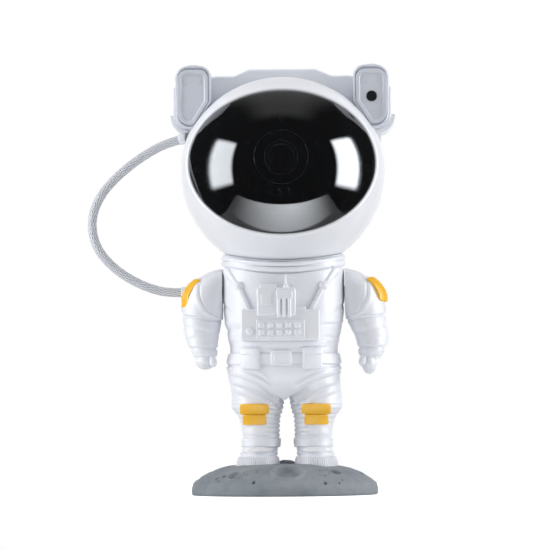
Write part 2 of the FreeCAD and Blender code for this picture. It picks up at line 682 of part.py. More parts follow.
def bracket_screws():
    """Two screws at the bracket's ends and three that hold the lens barrel to its posts."""
    end, front = screw(2.2, 1.5, 0.95, 9.0), screw(1.8, 1.2, 0.75, 6.0)
    ends = [Vector(side * BRACKET_END_X, PLATE_FRONT_Y - 1.5, HEAD_Z) for side in (-1, 1)]
    posts = [Vector(x, FLANGE_FRONT_Y - 1.2, z) for x, z in BARREL_POSTS]
    solids = [pointed(end, place, Vector(0, 1, 0)) for place in ends]
    return solids + [pointed(front, place, Vector(0, 1, 0)) for place in posts]


def lens_barrel():
    """Black barrel round the projection lens: a funnel mouth, a lens seat and a rear flange."""
    mouth = [(14.0, BARREL_FRONT_Y), (14.0, BARREL_FRONT_Y + 2.5), (BARREL_R, -40.0)]
    mouth += [(BARREL_R, FLANGE_FRONT_Y), (BARREL_BORE_R, FLANGE_FRONT_Y)]
    inside = [(BARREL_BORE_R, -36.0), (LENS_R, -36.0), (LENS_R, -41.5), (13.0, BARREL_FRONT_Y)]
    corners = [Vector(r, y, 0) for r, y in mouth + inside]
    ring = Part.Face(Part.makePolygon(corners + corners[:1]))
    barrel = ring.revolve(Vector(0, 0, 0), Vector(0, 1, 0), 360)
    barrel.translate(Vector(0, 0, OPTIC_Z))
    right = [(22.0, 201.0, 3.0), (22.0, 181.0, 3.0), (7.0, 161.0, 3.0)]
    outline = right + [(-x, z, r) for x, z, r in reversed(right)]
    flange = slab_y(outline, FLANGE_FRONT_Y, FLANGE_BACK_Y)
    flange = flange.fuse(rod_y(BARREL_R, 0, OPTIC_Z, FLANGE_FRONT_Y, FLANGE_BACK_Y))
    flange = flange.cut(rod_y(BARREL_BORE_R, 0, OPTIC_Z, -30, -20))
    barrel = barrel.fuse(flange)
    for x, z in BARREL_POSTS:
        barrel = barrel.cut(rod_y(0.85, x, z, -30, -20))
    return barrel


def bulged_lens(radius, front_y, rim, bulge):
    """A plano-convex lens on the optical axis with its curved side to the front."""
    curve_r = (radius * radius + bulge * bulge) / (2 * bulge)
    half = math.asin(radius / curve_r) / 2
    centre_y = front_y + curve_r
    tip, edge = Vector(0, front_y, 0), Vector(radius, front_y + bulge, 0)
    middle = Vector(curve_r * math.sin(half), centre_y - curve_r * math.cos(half), 0)
    back_edge, back = Vector(radius, front_y + bulge + rim, 0), Vector(0, front_y + bulge + rim, 0)
    outline = [Part.Arc(tip, middle, edge), Part.LineSegment(edge, back_edge)]
    outline += [Part.LineSegment(back_edge, back), Part.LineSegment(back, tip)]
    face = Part.Face(Part.Wire([line.toShape() for line in outline]))
    lens = face.revolve(Vector(0, 0, 0), Vector(0, 1, 0), 360)
    lens.translate(Vector(0, 0, OPTIC_Z))
    return lens


def front_lens():
    """Projection lens in the barrel's seat."""
    return bulged_lens(LENS_R - 0.02, -41.6, 2.4, 3.0)


def rear_lens():
    """Condenser lens between the lamp and the ripple wheel."""
    return bulged_lens(REAR_LENS_R, -13.2, 1.0, 1.6)


def lamp_board():
    """Aluminium-core board with the coloured lamp emitters."""
    board = rod_y(10.0, 0, OPTIC_Z, -8.0, -6.4)
    for dx, dz in ((-2.2, -2.2), (2.2, -2.2), (-2.2, 2.2), (2.2, 2.2)):
        z = OPTIC_Z + dz
        board = board.fuse(box((dx - 1.7, dx + 1.7), (-9.2, -8.0), (z - 1.7, z + 1.7)))
    return board


def heat_sink():
    """Finned aluminium block behind the lamp board."""
    sink = box((-12, 12), (-6.4, -3.4), (OPTIC_Z - 11, OPTIC_Z + 15))
    for k in range(7):
        x = -12 + k * 3.75
        sink = sink.fuse(box((x, x + 1.5), (-3.5, 12.0), (OPTIC_Z - 11, OPTIC_Z + 15)))
    for x, z in ((-10.5, OPTIC_Z + 13.0), (10.5, OPTIC_Z + 13.0)):
        sink = sink.fuse(rod_y(1.4, x, z, PLATE_FRONT_Y + PLATE_THICK, -6.0))
    return sink


def control_board():
    """Main board behind the optics, with its controller, coil and plugs."""
    front = BOARD_BACK_Y - 1.6
    board = box((-28, 28), (front, BOARD_BACK_Y), (HEAD_Z - 20, HEAD_Z + 16))
    board = board.fuse(box((-6, 6), (front - 1.6, front), (HEAD_Z - 8, HEAD_Z + 4)))
    board = board.fuse(rod_y(3.5, 14, HEAD_Z - 10, front - 5.0, front + 0.1))
    board = board.fuse(box((-24, -16), (front - 5.0, front), (HEAD_Z - 16, HEAD_Z - 9)))
    return board.fuse(box((-22, -10), (front - 5.0, front), (HEAD_Z + 6, HEAD_Z + 12)))


def armature_plate():
    """Dished steel plate inside the helmet's bottom that the neck magnet pulls on."""
    dish = dome(-WALL - 0.2).cut(dome(-WALL - 1.4))
    return dish.common(rod_z(16.0, 0, 0, 110, 135))


# ---------------------------------------------------------------- hose and its sockets
def head_socket_hole():
    """Space for the hose socket in the helmet's left side, half in each shell."""
    end, inward = hose_end(HOSE_UPPER[-1], HOSE_UPPER[-2])
    return pointed(Part.makeCylinder(SOCKET_R + 0.05, 14), end - inward, inward)


def hose_end(last, before):
    """The hose's end point and the direction in which it runs on into its socket."""
    end = Vector(*last)
    return end, (end - Vector(*before)).normalize()


def hose_socket(last, before, deep):
    """A stepped sleeve that the hose's end butts against, sunk deep into the piece that holds it."""
    end, inward = hose_end(last, before)
    sleeve = Part.makeCylinder(3.4, 3.3, Vector(0, 0, -3.2)).fuse(Part.makeCylinder(SOCKET_R, deep))
    sleeve = sleeve.fuse(Part.makeCylinder(4.1, 1.4, Vector(0, 0, -1.6)))
    sleeve = sleeve.cut(Part.makeCylinder(2.7, 3.2, Vector(0, 0, -3.2)))
    sleeve = sleeve.cut(Part.makeCylinder(1.4, deep + 4, Vector(0, 0, -1)))
    return pointed(sleeve, end, inward)


def hose_tube(points):
    """A round tube along straight runs joined by tangent arcs, and the radii of those arcs."""
    route = [Vector(*p) for p in points]
    edges, radii = [], []
    at = route[0]
    for before, here, after in zip(route, route[1:], route[2:]):
        back, on = before - here, after - here
        turn = math.pi - back.getAngle(on)
        cut = HOSE_ARC_SHARE * min(back.Length, on.Length)
        radius = cut / math.tan(turn / 2)
        radii.append(radius)
        start, end = here + back.normalize() * cut, here + on.normalize() * cut
        inwards = (back + on).normalize()
        middle = here + inwards * (radius / math.cos(turn / 2) - radius)
        edges += [Part.LineSegment(at, start).toShape(), Part.Arc(start, middle, end).toShape()]
        at = end
    edges.append(Part.LineSegment(at, route[-1]).toShape())
    path = Part.Wire(edges)
    ring = Part.Wire(Part.Circle(route[0], route[1] - route[0], HOSE_D / 2).toShape())
    tube = path.makePipeShell([ring], True, False)
    expected = math.pi * HOSE_D**2 / 4 * path.Length
    print(f"hose: {path.Length:.1f} mm, volume / expected {tube.Volume / expected:.4f}")
    print("hose radii:", [round(r, 1) for r in radii])
    return tube


# ---------------------------------------------------------------- neck
def ball_seat(gap):
    """The lower ball of the helmet, grown by gap."""
    return ball(HEAD_R + gap, 0, 0, HEAD_Z)


def swivel_cup():
    """Plastic cup under the helmet that turns in the neck, with a pocket for the magnet below."""
    cup = rod_z(CUP_R, 0, 0, CUP_BOTTOM_Z, 122).cut(ball_seat(CUP_GAP))
    cup = cup.cut(rod_z(RING_R, 0, 0, RING_BOTTOM_Z, 123).cut(rod_z(RING_BORE_R, 0, 0, 110, 124)))
    pocket = rod_z(MAGNET_R + RUNNING, 0, 0, CUP_BOTTOM_Z - 1, MAGNET_TOP_Z)
    cup = cup.cut(pocket.cut(rod_z(MAGNET_BORE_R - 0.1, 0, 0, 100, 130)))
    groove = rod_z(3.4, 0, 0, 107.2, 108.2).cut(rod_z(2.4, 0, 0, 100, 120))
    return cup.fuse(rod_z(3.0, 0, 0, 104.0, 115.0)).cut(groove)


def neck_magnet():
    """Ring magnet in the cup's pocket."""
    disc = rod_z(MAGNET_R, 0, 0, CUP_BOTTOM_Z + 0.1, MAGNET_TOP_Z)
    return disc.cut(rod_z(MAGNET_BORE_R, 0, 0, 100, 130))


def friction_ring():
    """Rubber ring that stops the helmet sliding in the cup."""
    ring = rod_z(RING_R, 0, 0, RING_BOTTOM_Z, 123).cut(rod_z(RING_BORE_R, 0, 0, 110, 130))
    return ring.cut(ball_seat(CUP_GAP - 0.3))


def neck_clip():
    """Spring clip in the groove of the cup's spindle, under the neck plate."""
    ring = rod_z(5.0, 0, 0, 107.3, 108.1).cut(rod_z(2.42, 0, 0, 100, 120))
    return ring.cut(box((-1.8, 1.8), (0, 10), (100, 120)))


def neck_plate():
    """Bearing plate across the torso that carries the turning cup."""
    plate = oval_z(29.0, 22.2, 0, 0, NECK_PLATE_Z, NECK_PLATE_Z + NECK_PLATE_THICK)
    plate = plate.fuse(rod_z(6.5, 0, 0, 108.3, NECK_PLATE_Z + 1))
    return plate.cut(rod_z(3.0 + RUNNING, 0, 0, 100, 120))


def neck_collar():
    """White collar round the helmet's seat, with two raised beads."""
    collar = oval_z(31.8, 25.6, 0, 0, TORSO_TOP_Z, 129.5)
    for z in (120.6, 123.4):
        bead = oval_z(32.3, 26.1, 0, 0, z - 0.7, z + 0.7)
        collar = collar.fuse(bead)
    collar = collar.cut(oval_z(29.2, 23.0, 0, 0, 110, 135))
    skirt = oval_z(29.0, 22.2, 0, 0, NECK_PLATE_Z + NECK_PLATE_THICK, TORSO_TOP_Z + 2.5)
    skirt = skirt.cut(oval_z(26.5, 19.7, 0, 0, 100, 130))
    link = oval_z(31.0, 24.8, 0, 0, TORSO_TOP_Z, TORSO_TOP_Z + 1.6).cut(oval_z(28.0, 21.2, 0, 0, 100, 130))
    collar = collar.fuse(skirt).fuse(link)
    collar = collar.cut(ball_seat(SEAT_GAP))
    rim = box((-40, 40), (-40, 40), (126.9, 140))
    return collar.cut(rim)


# ---------------------------------------------------------------- torso
def torso_form(shrink, low, high):
    """The torso as a solid loft, shrunk on all sides, with its end sections moved to low and high."""
    wires = []
    for k, (z, half_w, front, back) in enumerate(TORSO_SECTIONS):
        z = low if k == 0 else high if k == len(TORSO_SECTIONS) - 1 else z
        points = []
        for i in range(SECTION_POINTS):
            a = 2 * math.pi * i / SECTION_POINTS
            c, s = math.cos(a), math.sin(a)
            power = 2 / SECTION_POWER
            depth = back if s > 0 else front
            x = (half_w - shrink) * math.copysign(abs(c) ** power, c)
            y = (depth - shrink) * math.copysign(abs(s) ** power, s)
            points.append(Vector(x, y, z))
        curve = Part.BSplineCurve()
        curve.interpolate(Points=points, PeriodicFlag=True)
        wires.append(Part.Wire(curve.toShape()))
    return Part.makeLoft(wires, True, False)


def torso_shell():
    """Hollow torso before it is split, with shoulder bores and leg-screw bosses."""
    shell = torso_form(0, TORSO_BOTTOM_Z, TORSO_TOP_Z)
    shell = shell.cut(torso_form(WALL, TORSO_BOTTOM_Z + 3.5, TORSO_TOP_Z + 2))
    solid = torso_form(0.5, TORSO_BOTTOM_Z, TORSO_TOP_Z)
    for side in (-1, 1):
        shell = shell.fuse(rod_z(LEG_POST_R, side * LEG_SCREW_X, 0, TORSO_BOTTOM_Z + 1, 64.0))
        shell = shell.cut(rod_z(1.55, side * LEG_SCREW_X, 0, 40, 62))
    for x0, x1 in ((-32, -26), (26, 32)):
        shell = shell.fuse(rod_x(5.4, 0, SHOULDER_Z - 2.0, x0, x1).common(solid))
    ledge = oval_z(31.0, 24.0, 0, 0, NECK_PLATE_Z - 2.2, NECK_PLATE_Z)
    ledge = ledge.cut(oval_z(26.7, 18.5, 0, 0, 100, 120))
    shell = shell.fuse(ledge.common(solid))
    shell = shell.cut(rod_x(AXLE_R + RUNNING, 0, SHOULDER_Z, -40, 40))
    shell = shell.cut(oval_z(29.15, 22.35, 0, 0, NECK_PLATE_Z, 122))
    return shell.cut(ball_seat(SEAT_GAP))


def torso_front_shell():
    """White front half of the torso with its screw posts."""
    shell = torso_shell().common(box((-50, 50), (-50, TORSO_SEAM_Y), (40, 130)))
    solid = torso_form(0.5, TORSO_BOTTOM_Z, TORSO_TOP_Z)
    for x, z in TORSO_SCREWS:
        shell = shell.fuse(rod_y(2.8, x, z, -30, TORSO_SEAM_Y).common(solid))
        shell = shell.cut(rod_y(1.0, x, z, -14, 1))
    return shell


def torso_rear_shell():
    """White rear half of the torso, with screw wells and the backpack's opening."""
    shell = torso_shell().common(box((-50, 50), (TORSO_SEAM_Y, 50), (40, 130)))
    solid = torso_form(0.5, TORSO_BOTTOM_Z, TORSO_TOP_Z)
    for x, z in TORSO_SCREWS:
        shell = shell.fuse(rod_y(3.4, x, z, TORSO_SEAM_Y, 26).common(solid))
        shell = shell.cut(rod_y(1.25, x, z, -1, 30)).cut(rod_y(2.4, x, z, 12, 40))
    return shell.cut(box((-6.5, 6.5), (15, 40), (78, 88)))


def torso_screws():
    """Four screws that hold the torso's halves together."""
    one = screw(2.1, 1.5, 0.95, 20.0)
    return [pointed(one, Vector(x, 13.5, z), Vector(0, -1, 0)) for x, z in TORSO_SCREWS]


def backpack():
    """White life-support pack on the torso's back, hollow, with the power socket's opening in its foot."""
    outline = [(17.5, 110.5, 4.0), (17.5, 74.0, 4.0), (-17.5, 74.0, 4.0), (-17.5, 110.5, 4.0)]
    pack = slab_y(outline, 14.0, PACK_REAR_Y)
    rear = [e for e in pack.Edges if all(abs(v.Y - PACK_REAR_Y) < 1e-6 for v in e.Vertexes)]
    pack = pack.makeFillet(2.0, rear)
    pack = pack.cut(slab_y(inset(outline, WALL), 10.0, PACK_REAR_Y - WALL))
    for z in (83.0, 101.0):
        pack = pack.fuse(box((-12.5, 12.5), (PACK_REAR_Y - 1.0, PACK_REAR_Y + 0.6), (z - 0.6, z + 0.6)))
    pack = pack.cut(torso_form(-0.1, TORSO_BOTTOM_Z, TORSO_TOP_Z))
    return pack.cut(box((-4.6, 4.6), (26.8, 30.6), (70, 78)))


def power_socket():
    """Metal-shelled power socket that faces down in the backpack's foot."""
    shell = box((-4.5, 4.5), (26.9, 30.5), (74.2, 82.5))
    shell = shell.cut(box((-4.1, 4.1), (27.3, 30.1), (70, 81.0)))
    tongue = box((-3.2, 3.2), (28.35, 29.05), (75.2, 81.5))
    return shell.fuse(tongue)


# ---------------------------------------------------------------- chest and belt
def plate_outline(x0, x1, z0, z1, radius):
    """Four rounded corners of a plate seen from the front."""
    return [(x1, z1, radius), (x1, z0, radius), (x0, z0, radius), (x0, z1, radius)]


def chest_panel():
    """Raised control panel: a wide lower plate, an upper deck, keys, pipes, a dial and an aerial."""
    panel = slab_y(plate_outline(-22.0, 19.2, 80.9, 97.5, 1.2), PANEL_FRONT_Y, -15.0)
    panel = panel.fuse(slab_y(plate_outline(-13.5, 6.9, 97.0, 108.8, 0.8), DECK_FRONT_Y, -15.0))
    panel = panel.fuse(slab_y(plate_outline(-11.9, -3.2, 108.5, 110.5, 0.6), DECK_FRONT_Y + 0.6, -20.0))
    panel = panel.fuse(slab_y(plate_outline(-13.9, 11.5, 82.2, 92.1, 0.6), PANEL_FRONT_Y - 0.6, -20.0))
    for column in range(5):
        for row in range(2):
            x, z = -11.2 + 4.7 * column, 85.2 + 3.9 * row
            panel = panel.fuse(box((x - 1.7, x + 1.7), (KEY_FRONT_Y, -28.0), (z - 1.3, z + 1.3)))
    for x in (-2.05, 0.7, 3.8):
        panel = panel.fuse(rod_z(0.75, x, DECK_FRONT_Y + 0.1, 93.2, 102.6))
    panel = panel.fuse(rod_y(2.0, -17.2, 86.0, PANEL_FRONT_Y - 1.2, -25.0))
    panel = panel.fuse(rod_z(0.5, 1.7, DECK_FRONT_Y + 1.2, 108.0, 115.6))
    return panel.cut(torso_form(-0.03, TORSO_BOTTOM_Z, TORSO_TOP_Z))


# ---------------------------------------------------------------- arms
def arm_form(grow, leans):
    """An arm's outer form on the right side, grown all round and leaning out, without its flat inner face."""
    sections = [(z, x + lean, y, a + grow, b + grow) for (z, x, y, a, b), lean in zip(ARM_SECTIONS, leans)]
    return oval_loft(sections)


def badge_on(leans):
    """Yellow badge let into the outer side of the upper arm."""
    skin = arm_form(BADGE_HEIGHT, leans).cut(arm_form(-BADGE_DEPTH, leans))
    heights = (SHOULDER_Z - BADGE_HALF_H, SHOULDER_Z + BADGE_HALF_H)
    block = box((44, 60), (-BADGE_HALF_W, BADGE_HALF_W), heights)
    return skin.common(block)


def fist():
    """Gloved fist with its thumb and cuff."""
    squash = Matrix()
    squash.A11, squash.A22, squash.A33 = 5.3, 5.8, 5.2
    palm = ball(1.0, 0, 0, 0).transformGeometry(squash)
    palm.translate(Vector(41.4, -7.6, 69.9))
    thumb = ball(2.2, 37.6, -10.4, 69.4)
    return palm.fuse(thumb).fuse(oval_z(5.4, 5.9, 41.5, -6.9, 71.5, 75.0))


def arm(leans):
    """White arm and glove with a flat shoulder face, an axle bore and the seat of its badge."""
    limb = arm_form(0, leans).cut(box((0, SHOULDER_FACE_X), (-30, 30), (60, 140)))
    hand = fist()
    hand.translate(Vector(leans[0], 0, 0))
    limb = limb.cut(badge_on(leans)).fuse(hand)
    return limb.cut(rod_x(AXLE_R, 0, SHOULDER_Z, 30, AXLE_OUTER_X))


def left_arm():
    """The left arm, bored through for the hose's socket."""
    return mirrored(arm(LEFT_ARM_LEANS)).cut(rod_x(SOCKET_R + 0.05, 0, SHOULDER_Z, -60, -AXLE_OUTER_X))


def left_arm_patch():
    """Yellow badge of the left arm, round the hose's socket."""
    return mirrored(badge_on(LEFT_ARM_LEANS)).cut(rod_x(4.2, 0, SHOULDER_Z, -60, -40))


def shoulder_axle():
    """Hollow axle from the right arm into the torso, with a flange that keeps it there."""
    axle = rod_x(AXLE_R, 0, SHOULDER_Z, 24.3, AXLE_OUTER_X)
    axle = axle.fuse(rod_x(4.0, 0, SHOULDER_Z, 24.3, 25.9))
    return axle.cut(rod_x(1.5, 0, SHOULDER_Z, 20, 50))


# ---------------------------------------------------------------- legs, boots and base
def right_leg():
    """White trouser leg, bored for the long screw."""
    leg = oval_loft(LEG_SECTIONS)
    leg = leg.cut(oval_loft([(z, x, y, a - WALL, b - WALL) for z, x, y, a, b in LEG_SECTIONS[1:-1]]))
    leg = leg.fuse(rod_z(LEG_POST_R, LEG_SCREW_X, 0, LEG_SECTIONS[0][0], LEG_SECTIONS[-1][0]))
    leg = leg.cut(right_knee_patch())
    return leg.cut(rod_z(LEG_HOLE_R, LEG_SCREW_X, 0, 20, 60))


def right_knee_patch():
    """Yellow two-step pad let into the front of the knee."""
    upper = box((7.9, 22.5), (-18, -4), (42.6, 48.2))
    lower = box((8.8, 21.6), (-18, -4), (36.4, 42.7))
    outer, inner = [], []
    for z, x, y, a, b in LEG_SECTIONS:
        outer.append((z, x, y, a + KNEE_HEIGHT, b + KNEE_HEIGHT))
        inner.append((z, x, y, a - KNEE_DEPTH, b - KNEE_DEPTH))
    skin = oval_loft(outer).cut(oval_loft(inner))
    return skin.common(upper.fuse(lower))


def right_boot():
    """White moon boot, hollow over its screw post."""
    boot = oval_loft(BOOT_SECTIONS)
    inner = [(z, x, y, a - WALL, b - WALL) for z, x, y, a, b in BOOT_SECTIONS[1:-1]]
    boot = boot.cut(oval_loft(inner)).fuse(rod_z(LEG_POST_R, LEG_SCREW_X, 0, 16.5, 28.1))
    boot = boot.cut(base_form(0.0))
    return boot.cut(rod_z(LEG_HOLE_R, LEG_SCREW_X, 0, 10, 40))


def base_form(shrink):
    """The moon base's outer dome as a solid, shrunk on all sides."""
    points = [Vector(max(r - shrink, 0), 0, z - (shrink if z > 8 else 0)) for r, z in BASE_PROFILE]
    curve = Part.BSplineCurve()
    curve.interpolate(points)
    low = Vector(0, 0, points[0].z)
    down, out = Part.LineSegment(points[-1], low), Part.LineSegment(low, points[0])
    edges = [curve.toShape(), down.toShape(), out.toShape()]
    return Part.Face(Part.Wire(edges)).revolve(Vector(0, 0, 0), Vector(0, 0, 1), 360)


def base_height(r):
    """Height of the base's dome at a radius, read between its profile's corners."""
    rows = sorted(BASE_PROFILE[2:])
    for (r0, z0), (r1, z1) in zip(rows, rows[1:]):
        if r0 <= r <= r1:
            return z0 + (z1 - z0) * (r - r0) / (r1 - r0)
    return 0.0


def moon_base_shell():
    """Grey cratered dome, open below."""
    shell = base_form(0.0).cut(base_form(WALL))
    for side in (-1, 1):
        shell = shell.fuse(rod_z(5.0, side * LEG_SCREW_X, 0, 11.5, 15.0))
        shell = shell.cut(rod_z(1.7, side * LEG_SCREW_X, 0, 5, 20))
    for x, y in BASE_SCREWS:
        shell = shell.fuse(rod_z(3.0, x, y, COVER_TOP_Z + 0.1, 12.0).common(base_form(0.5)))
        shell = shell.cut(rod_z(1.0, x, y, 2, 9))
    for x, y, width, depth in CRATERS:
        radius = (width * width / 4 + depth * depth) / (2 * depth)
        z = base_height(math.hypot(x, y))
        shell = shell.cut(ball(radius, x, y, z + radius - depth))
    return shell


def base_plate():
    """Bottom cover of the base."""
    plate = rod_z(COVER_R, 0, 0, COVER_BOTTOM_Z, COVER_TOP_Z)
    for x, y in BASE_SCREWS:
        plate = plate.cut(rod_z(1.3, x, y, 0, 5)).cut(rod_z(2.5, x, y, 0, 2.0))
    return plate


def base_screws():
    """Four screws that hold the bottom cover, under the pad."""
    one = screw(2.2, 1.0, 0.95, 6.5)
    return [pointed(one, Vector(x, y, 1.0), Vector(0, 0, 1)) for x, y in BASE_SCREWS]


def base_pad():
    """Non-slip rubber disc that the projector stands on."""
    return rod_z(PAD_R, 0, 0, 0, PAD_TOP_Z)


def ballast():
    """Steel weight in the base, cut out round the leg screws."""
    weight = rod_z(32.0, 0, 0, COVER_TOP_Z + 0.05, 8.6)
    for side in (-1, 1):
        weight = weight.cut(rod_z(5.5, side * LEG_SCREW_X, 0, 0, 20))
    return weight


def leg_screws():
    """Two long screws from inside the base up through boots and legs into the torso."""
    one = screw(3.0, 2.2, 1.4, 46.0)
    return [pointed(one, Vector(side * LEG_SCREW_X, 0, 9.2), Vector(0, 0, 1)) for side in (-1, 1)]


# ---------------------------------------------------------------- what is built
def pieces():
    """Every node's name and shape."""
    leg, boot, knee = right_leg(), right_boot(), right_knee_patch()
    pod, axle = ear_pod(), shoulder_axle()
    found = {
        "moon_base_shell": moon_base_shell(),
        "base_plate": base_plate(),
        "base_pad": base_pad(),
        "ballast": ballast(),
        "body_screws": Part.makeCompound(base_screws() + leg_screws() + torso_screws()),
        "left_boot": mirrored(boot),
        "right_boot": boot,
        "left_leg": mirrored(leg),
        "right_leg": leg,
        "left_knee_patch": mirrored(knee),
        "right_knee_patch": knee,
        "torso_front_shell": torso_front_shell(),
        "torso_rear_shell": torso_rear_shell(),
        "chest_panel": chest_panel(),
        "backpack": backpack(),
        "power_socket": power_socket(),
        "neck_collar": neck_collar(),
        "neck_plate": neck_plate(),
        "swivel_cup": swivel_cup(),
        "neck_magnet": neck_magnet(),
        "friction_ring": friction_ring(),
        "neck_clip": neck_clip(),
        "left_arm": left_arm(),
        "left_arm_patch": left_arm_patch(),
        "left_axle": mirrored(axle),
        "arm_hose_socket": hose_socket(HOSE_LOWER[0], HOSE_LOWER[1], 8.9),
        "right_arm": arm(RIGHT_ARM_LEANS),
        "right_arm_patch": badge_on(RIGHT_ARM_LEANS),
        "right_axle": axle,
        "helmet_front_shell": helmet_front_shell(),
        "helmet_rear_shell": helmet_rear_shell(),
        "head_screws": Part.makeCompound(helmet_screws() + bracket_screws()),
        "visor": visor(),
        "rear_housing": rear_housing(),
        "left_pod": mirrored(pod),
        "right_pod": pod,
        "left_pod_cap": mirrored(pod_cap(False)),
        "right_pod_cap": pod_cap(True),
        "pod_cap_screws": cap_screws(),
        "remote_receiver": remote_receiver(),
        "button_board": button_board(),
        "optics_bracket": optics_bracket(),
        "lens_barrel": lens_barrel(),
        "front_lens": front_lens(),
        "rear_lens": rear_lens(),
        "lamp_board": lamp_board(),
        "heat_sink": heat_sink(),
        "laser_module": laser_module(),
        "drive_motor": drive_motor(),
        "control_board": control_board(),
        "armature_plate": armature_plate(),
        "head_hose_socket": hose_socket(HOSE_UPPER[-1], HOSE_UPPER[-2], 9.0),
        "ripple_wheel": ripple_wheel(),
        "motor_pinion": motor_pinion(),
        "star_wheel": star_wheel(),
        "hose_lower": hose_tube(HOSE_LOWER),
        "hose_upper": hose_tube(HOSE_UPPER),
    }
    for name, x in BUTTON_XS.items():
        found[name] = push_button(x)
    return found


def main():
    """Writes every piece, after checking that it is a valid closed solid."""
    os.makedirs(PARTS, exist_ok=True)
    for name, shape in pieces().items():
        solids = shape.Solids
        whole = solids[0] if len(solids) == 1 else Part.makeCompound(solids)
        if not whole.isValid() or whole.Volume <= 0:
            print("BAD", name, whole.isValid(), whole.Volume)
        print(name, len(solids), round(whole.Volume, 1))
        whole.exportStep(os.path.join(PARTS, name + ".step"))


main()
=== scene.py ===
"""Finish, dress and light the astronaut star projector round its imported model.

Sizes in the classes are millimetres and become metres when a mesh is made. +Z is up, the figure faces -Y,
and its left side is -X, as seen from the front.
"""

import json
import logging
import math
from collections.abc import Callable, Sequence
from dataclasses import dataclass, field
from enum import Enum

import bpy
import numpy as np
from mathutils import Euler, Matrix, Quaternion, Vector

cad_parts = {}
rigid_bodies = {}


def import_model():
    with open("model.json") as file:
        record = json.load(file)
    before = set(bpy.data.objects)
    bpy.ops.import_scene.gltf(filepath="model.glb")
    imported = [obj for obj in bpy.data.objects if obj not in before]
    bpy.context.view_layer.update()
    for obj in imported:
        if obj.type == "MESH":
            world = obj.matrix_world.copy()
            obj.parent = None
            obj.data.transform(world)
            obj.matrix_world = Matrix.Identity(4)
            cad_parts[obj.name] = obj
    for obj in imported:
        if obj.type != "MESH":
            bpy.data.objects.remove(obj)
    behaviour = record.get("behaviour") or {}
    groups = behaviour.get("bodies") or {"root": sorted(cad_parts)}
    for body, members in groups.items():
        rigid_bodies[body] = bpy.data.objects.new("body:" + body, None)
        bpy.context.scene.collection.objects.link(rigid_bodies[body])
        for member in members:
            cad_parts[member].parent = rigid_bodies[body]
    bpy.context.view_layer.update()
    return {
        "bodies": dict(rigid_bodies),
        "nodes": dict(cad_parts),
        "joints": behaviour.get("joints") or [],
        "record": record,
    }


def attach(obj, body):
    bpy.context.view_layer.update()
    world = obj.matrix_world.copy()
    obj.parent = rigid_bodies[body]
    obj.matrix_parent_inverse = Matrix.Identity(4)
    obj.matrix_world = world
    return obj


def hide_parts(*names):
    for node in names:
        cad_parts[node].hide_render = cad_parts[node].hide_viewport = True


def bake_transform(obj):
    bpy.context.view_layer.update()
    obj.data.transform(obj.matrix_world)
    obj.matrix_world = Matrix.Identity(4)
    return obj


Array = np.ndarray
Skin = Callable[[Array, Array], Array]

LOG = logging.getLogger("projector")
MM = 0.001
WELD = 1e-4  # points closer than this, in millimetres, are one point
REARWARD = np.array([0.0, 1.0, 0.0])


class Side(Enum):
    """Which half of the figure a mirrored piece belongs to."""

    LEFT = -1
    RIGHT = 1

    @property
    def prefix(self) -> str:
        """The word that starts the names of this side's pieces and nodes."""
        return self.name.lower()


class Axis(Enum):
    """A direction of the shared frame, and its place in a point."""

    X = 0
    Y = 1
    Z = 2


class SeenBy(Enum):
    """The rays that a lamp answers: those of dull surfaces or those of polished ones."""

    DIFFUSE = "diffuse"
    GLOSSY = "glossy"


# ---------------------------------------------------------------- numbers
def smooth(low: float, high: float, x: Array) -> Array:
    """Zero at low, one at high, and an S-curve 3t^2 - 2t^3 between them; low may be the larger."""
    t = np.clip((x - low) / (high - low), 0.0, 1.0)
    return t * t * (3 - 2 * t)


def ridge(x: Array, middle: float, width: float) -> Array:
    """A bell of height one, exp(-((x - middle) / width)^2)."""
    return np.exp(-(((x - middle) / width) ** 2))


def band(x: Array, low: float, high: float, soft: float) -> Array:
    """One between low and high, zero outside, with edges softened over a distance."""
    return smooth(low - soft, low + soft, x) * (1 - smooth(high - soft, high + soft, x))


def through(knots: Sequence[float], values: Sequence[float], at: Array) -> Array:
    """A smooth curve through (knot, value) pairs: cubic pieces whose slopes come from their neighbours.

    Args:
        knots: Rising places of the values.
        values: The value at each knot.
        at: Places where the curve is wanted; beyond the knots it keeps its end values.

    Returns:
        The curve's value at each place.
    """
    k, v = np.asarray(knots, float), np.asarray(values, float)
    slope = np.gradient(v, k)
    at = np.clip(at, k[0], k[-1])
    i = np.clip(np.searchsorted(k, at, side="right") - 1, 0, len(k) - 2)
    gap = k[i + 1] - k[i]
    t = (at - k[i]) / gap
    start = (1 + 2 * t) * (1 - t) ** 2 * v[i] + t * (1 - t) ** 2 * gap * slope[i]
    return start + t * t * (3 - 2 * t) * v[i + 1] + t * t * (t - 1) * gap * slope[i + 1]


def at_height(table: Sequence[tuple], z: Array) -> list[Array]:
    """The later columns of a table, each as a smooth curve over its first, at these heights."""
    heights, *columns = np.array(table).T
    return [through(heights, column, z) for column in columns]


def ovals(table: Sequence[tuple], turn: Array, z: Array) -> Array:
    """Ellipses whose centres and half sizes follow rows of (height, x, y, half x, half y)."""
    x, y, wide, deep = at_height(table, z)
    return np.stack([x + wide * np.cos(turn), y + deep * np.sin(turn), z + 0 * turn], -1)


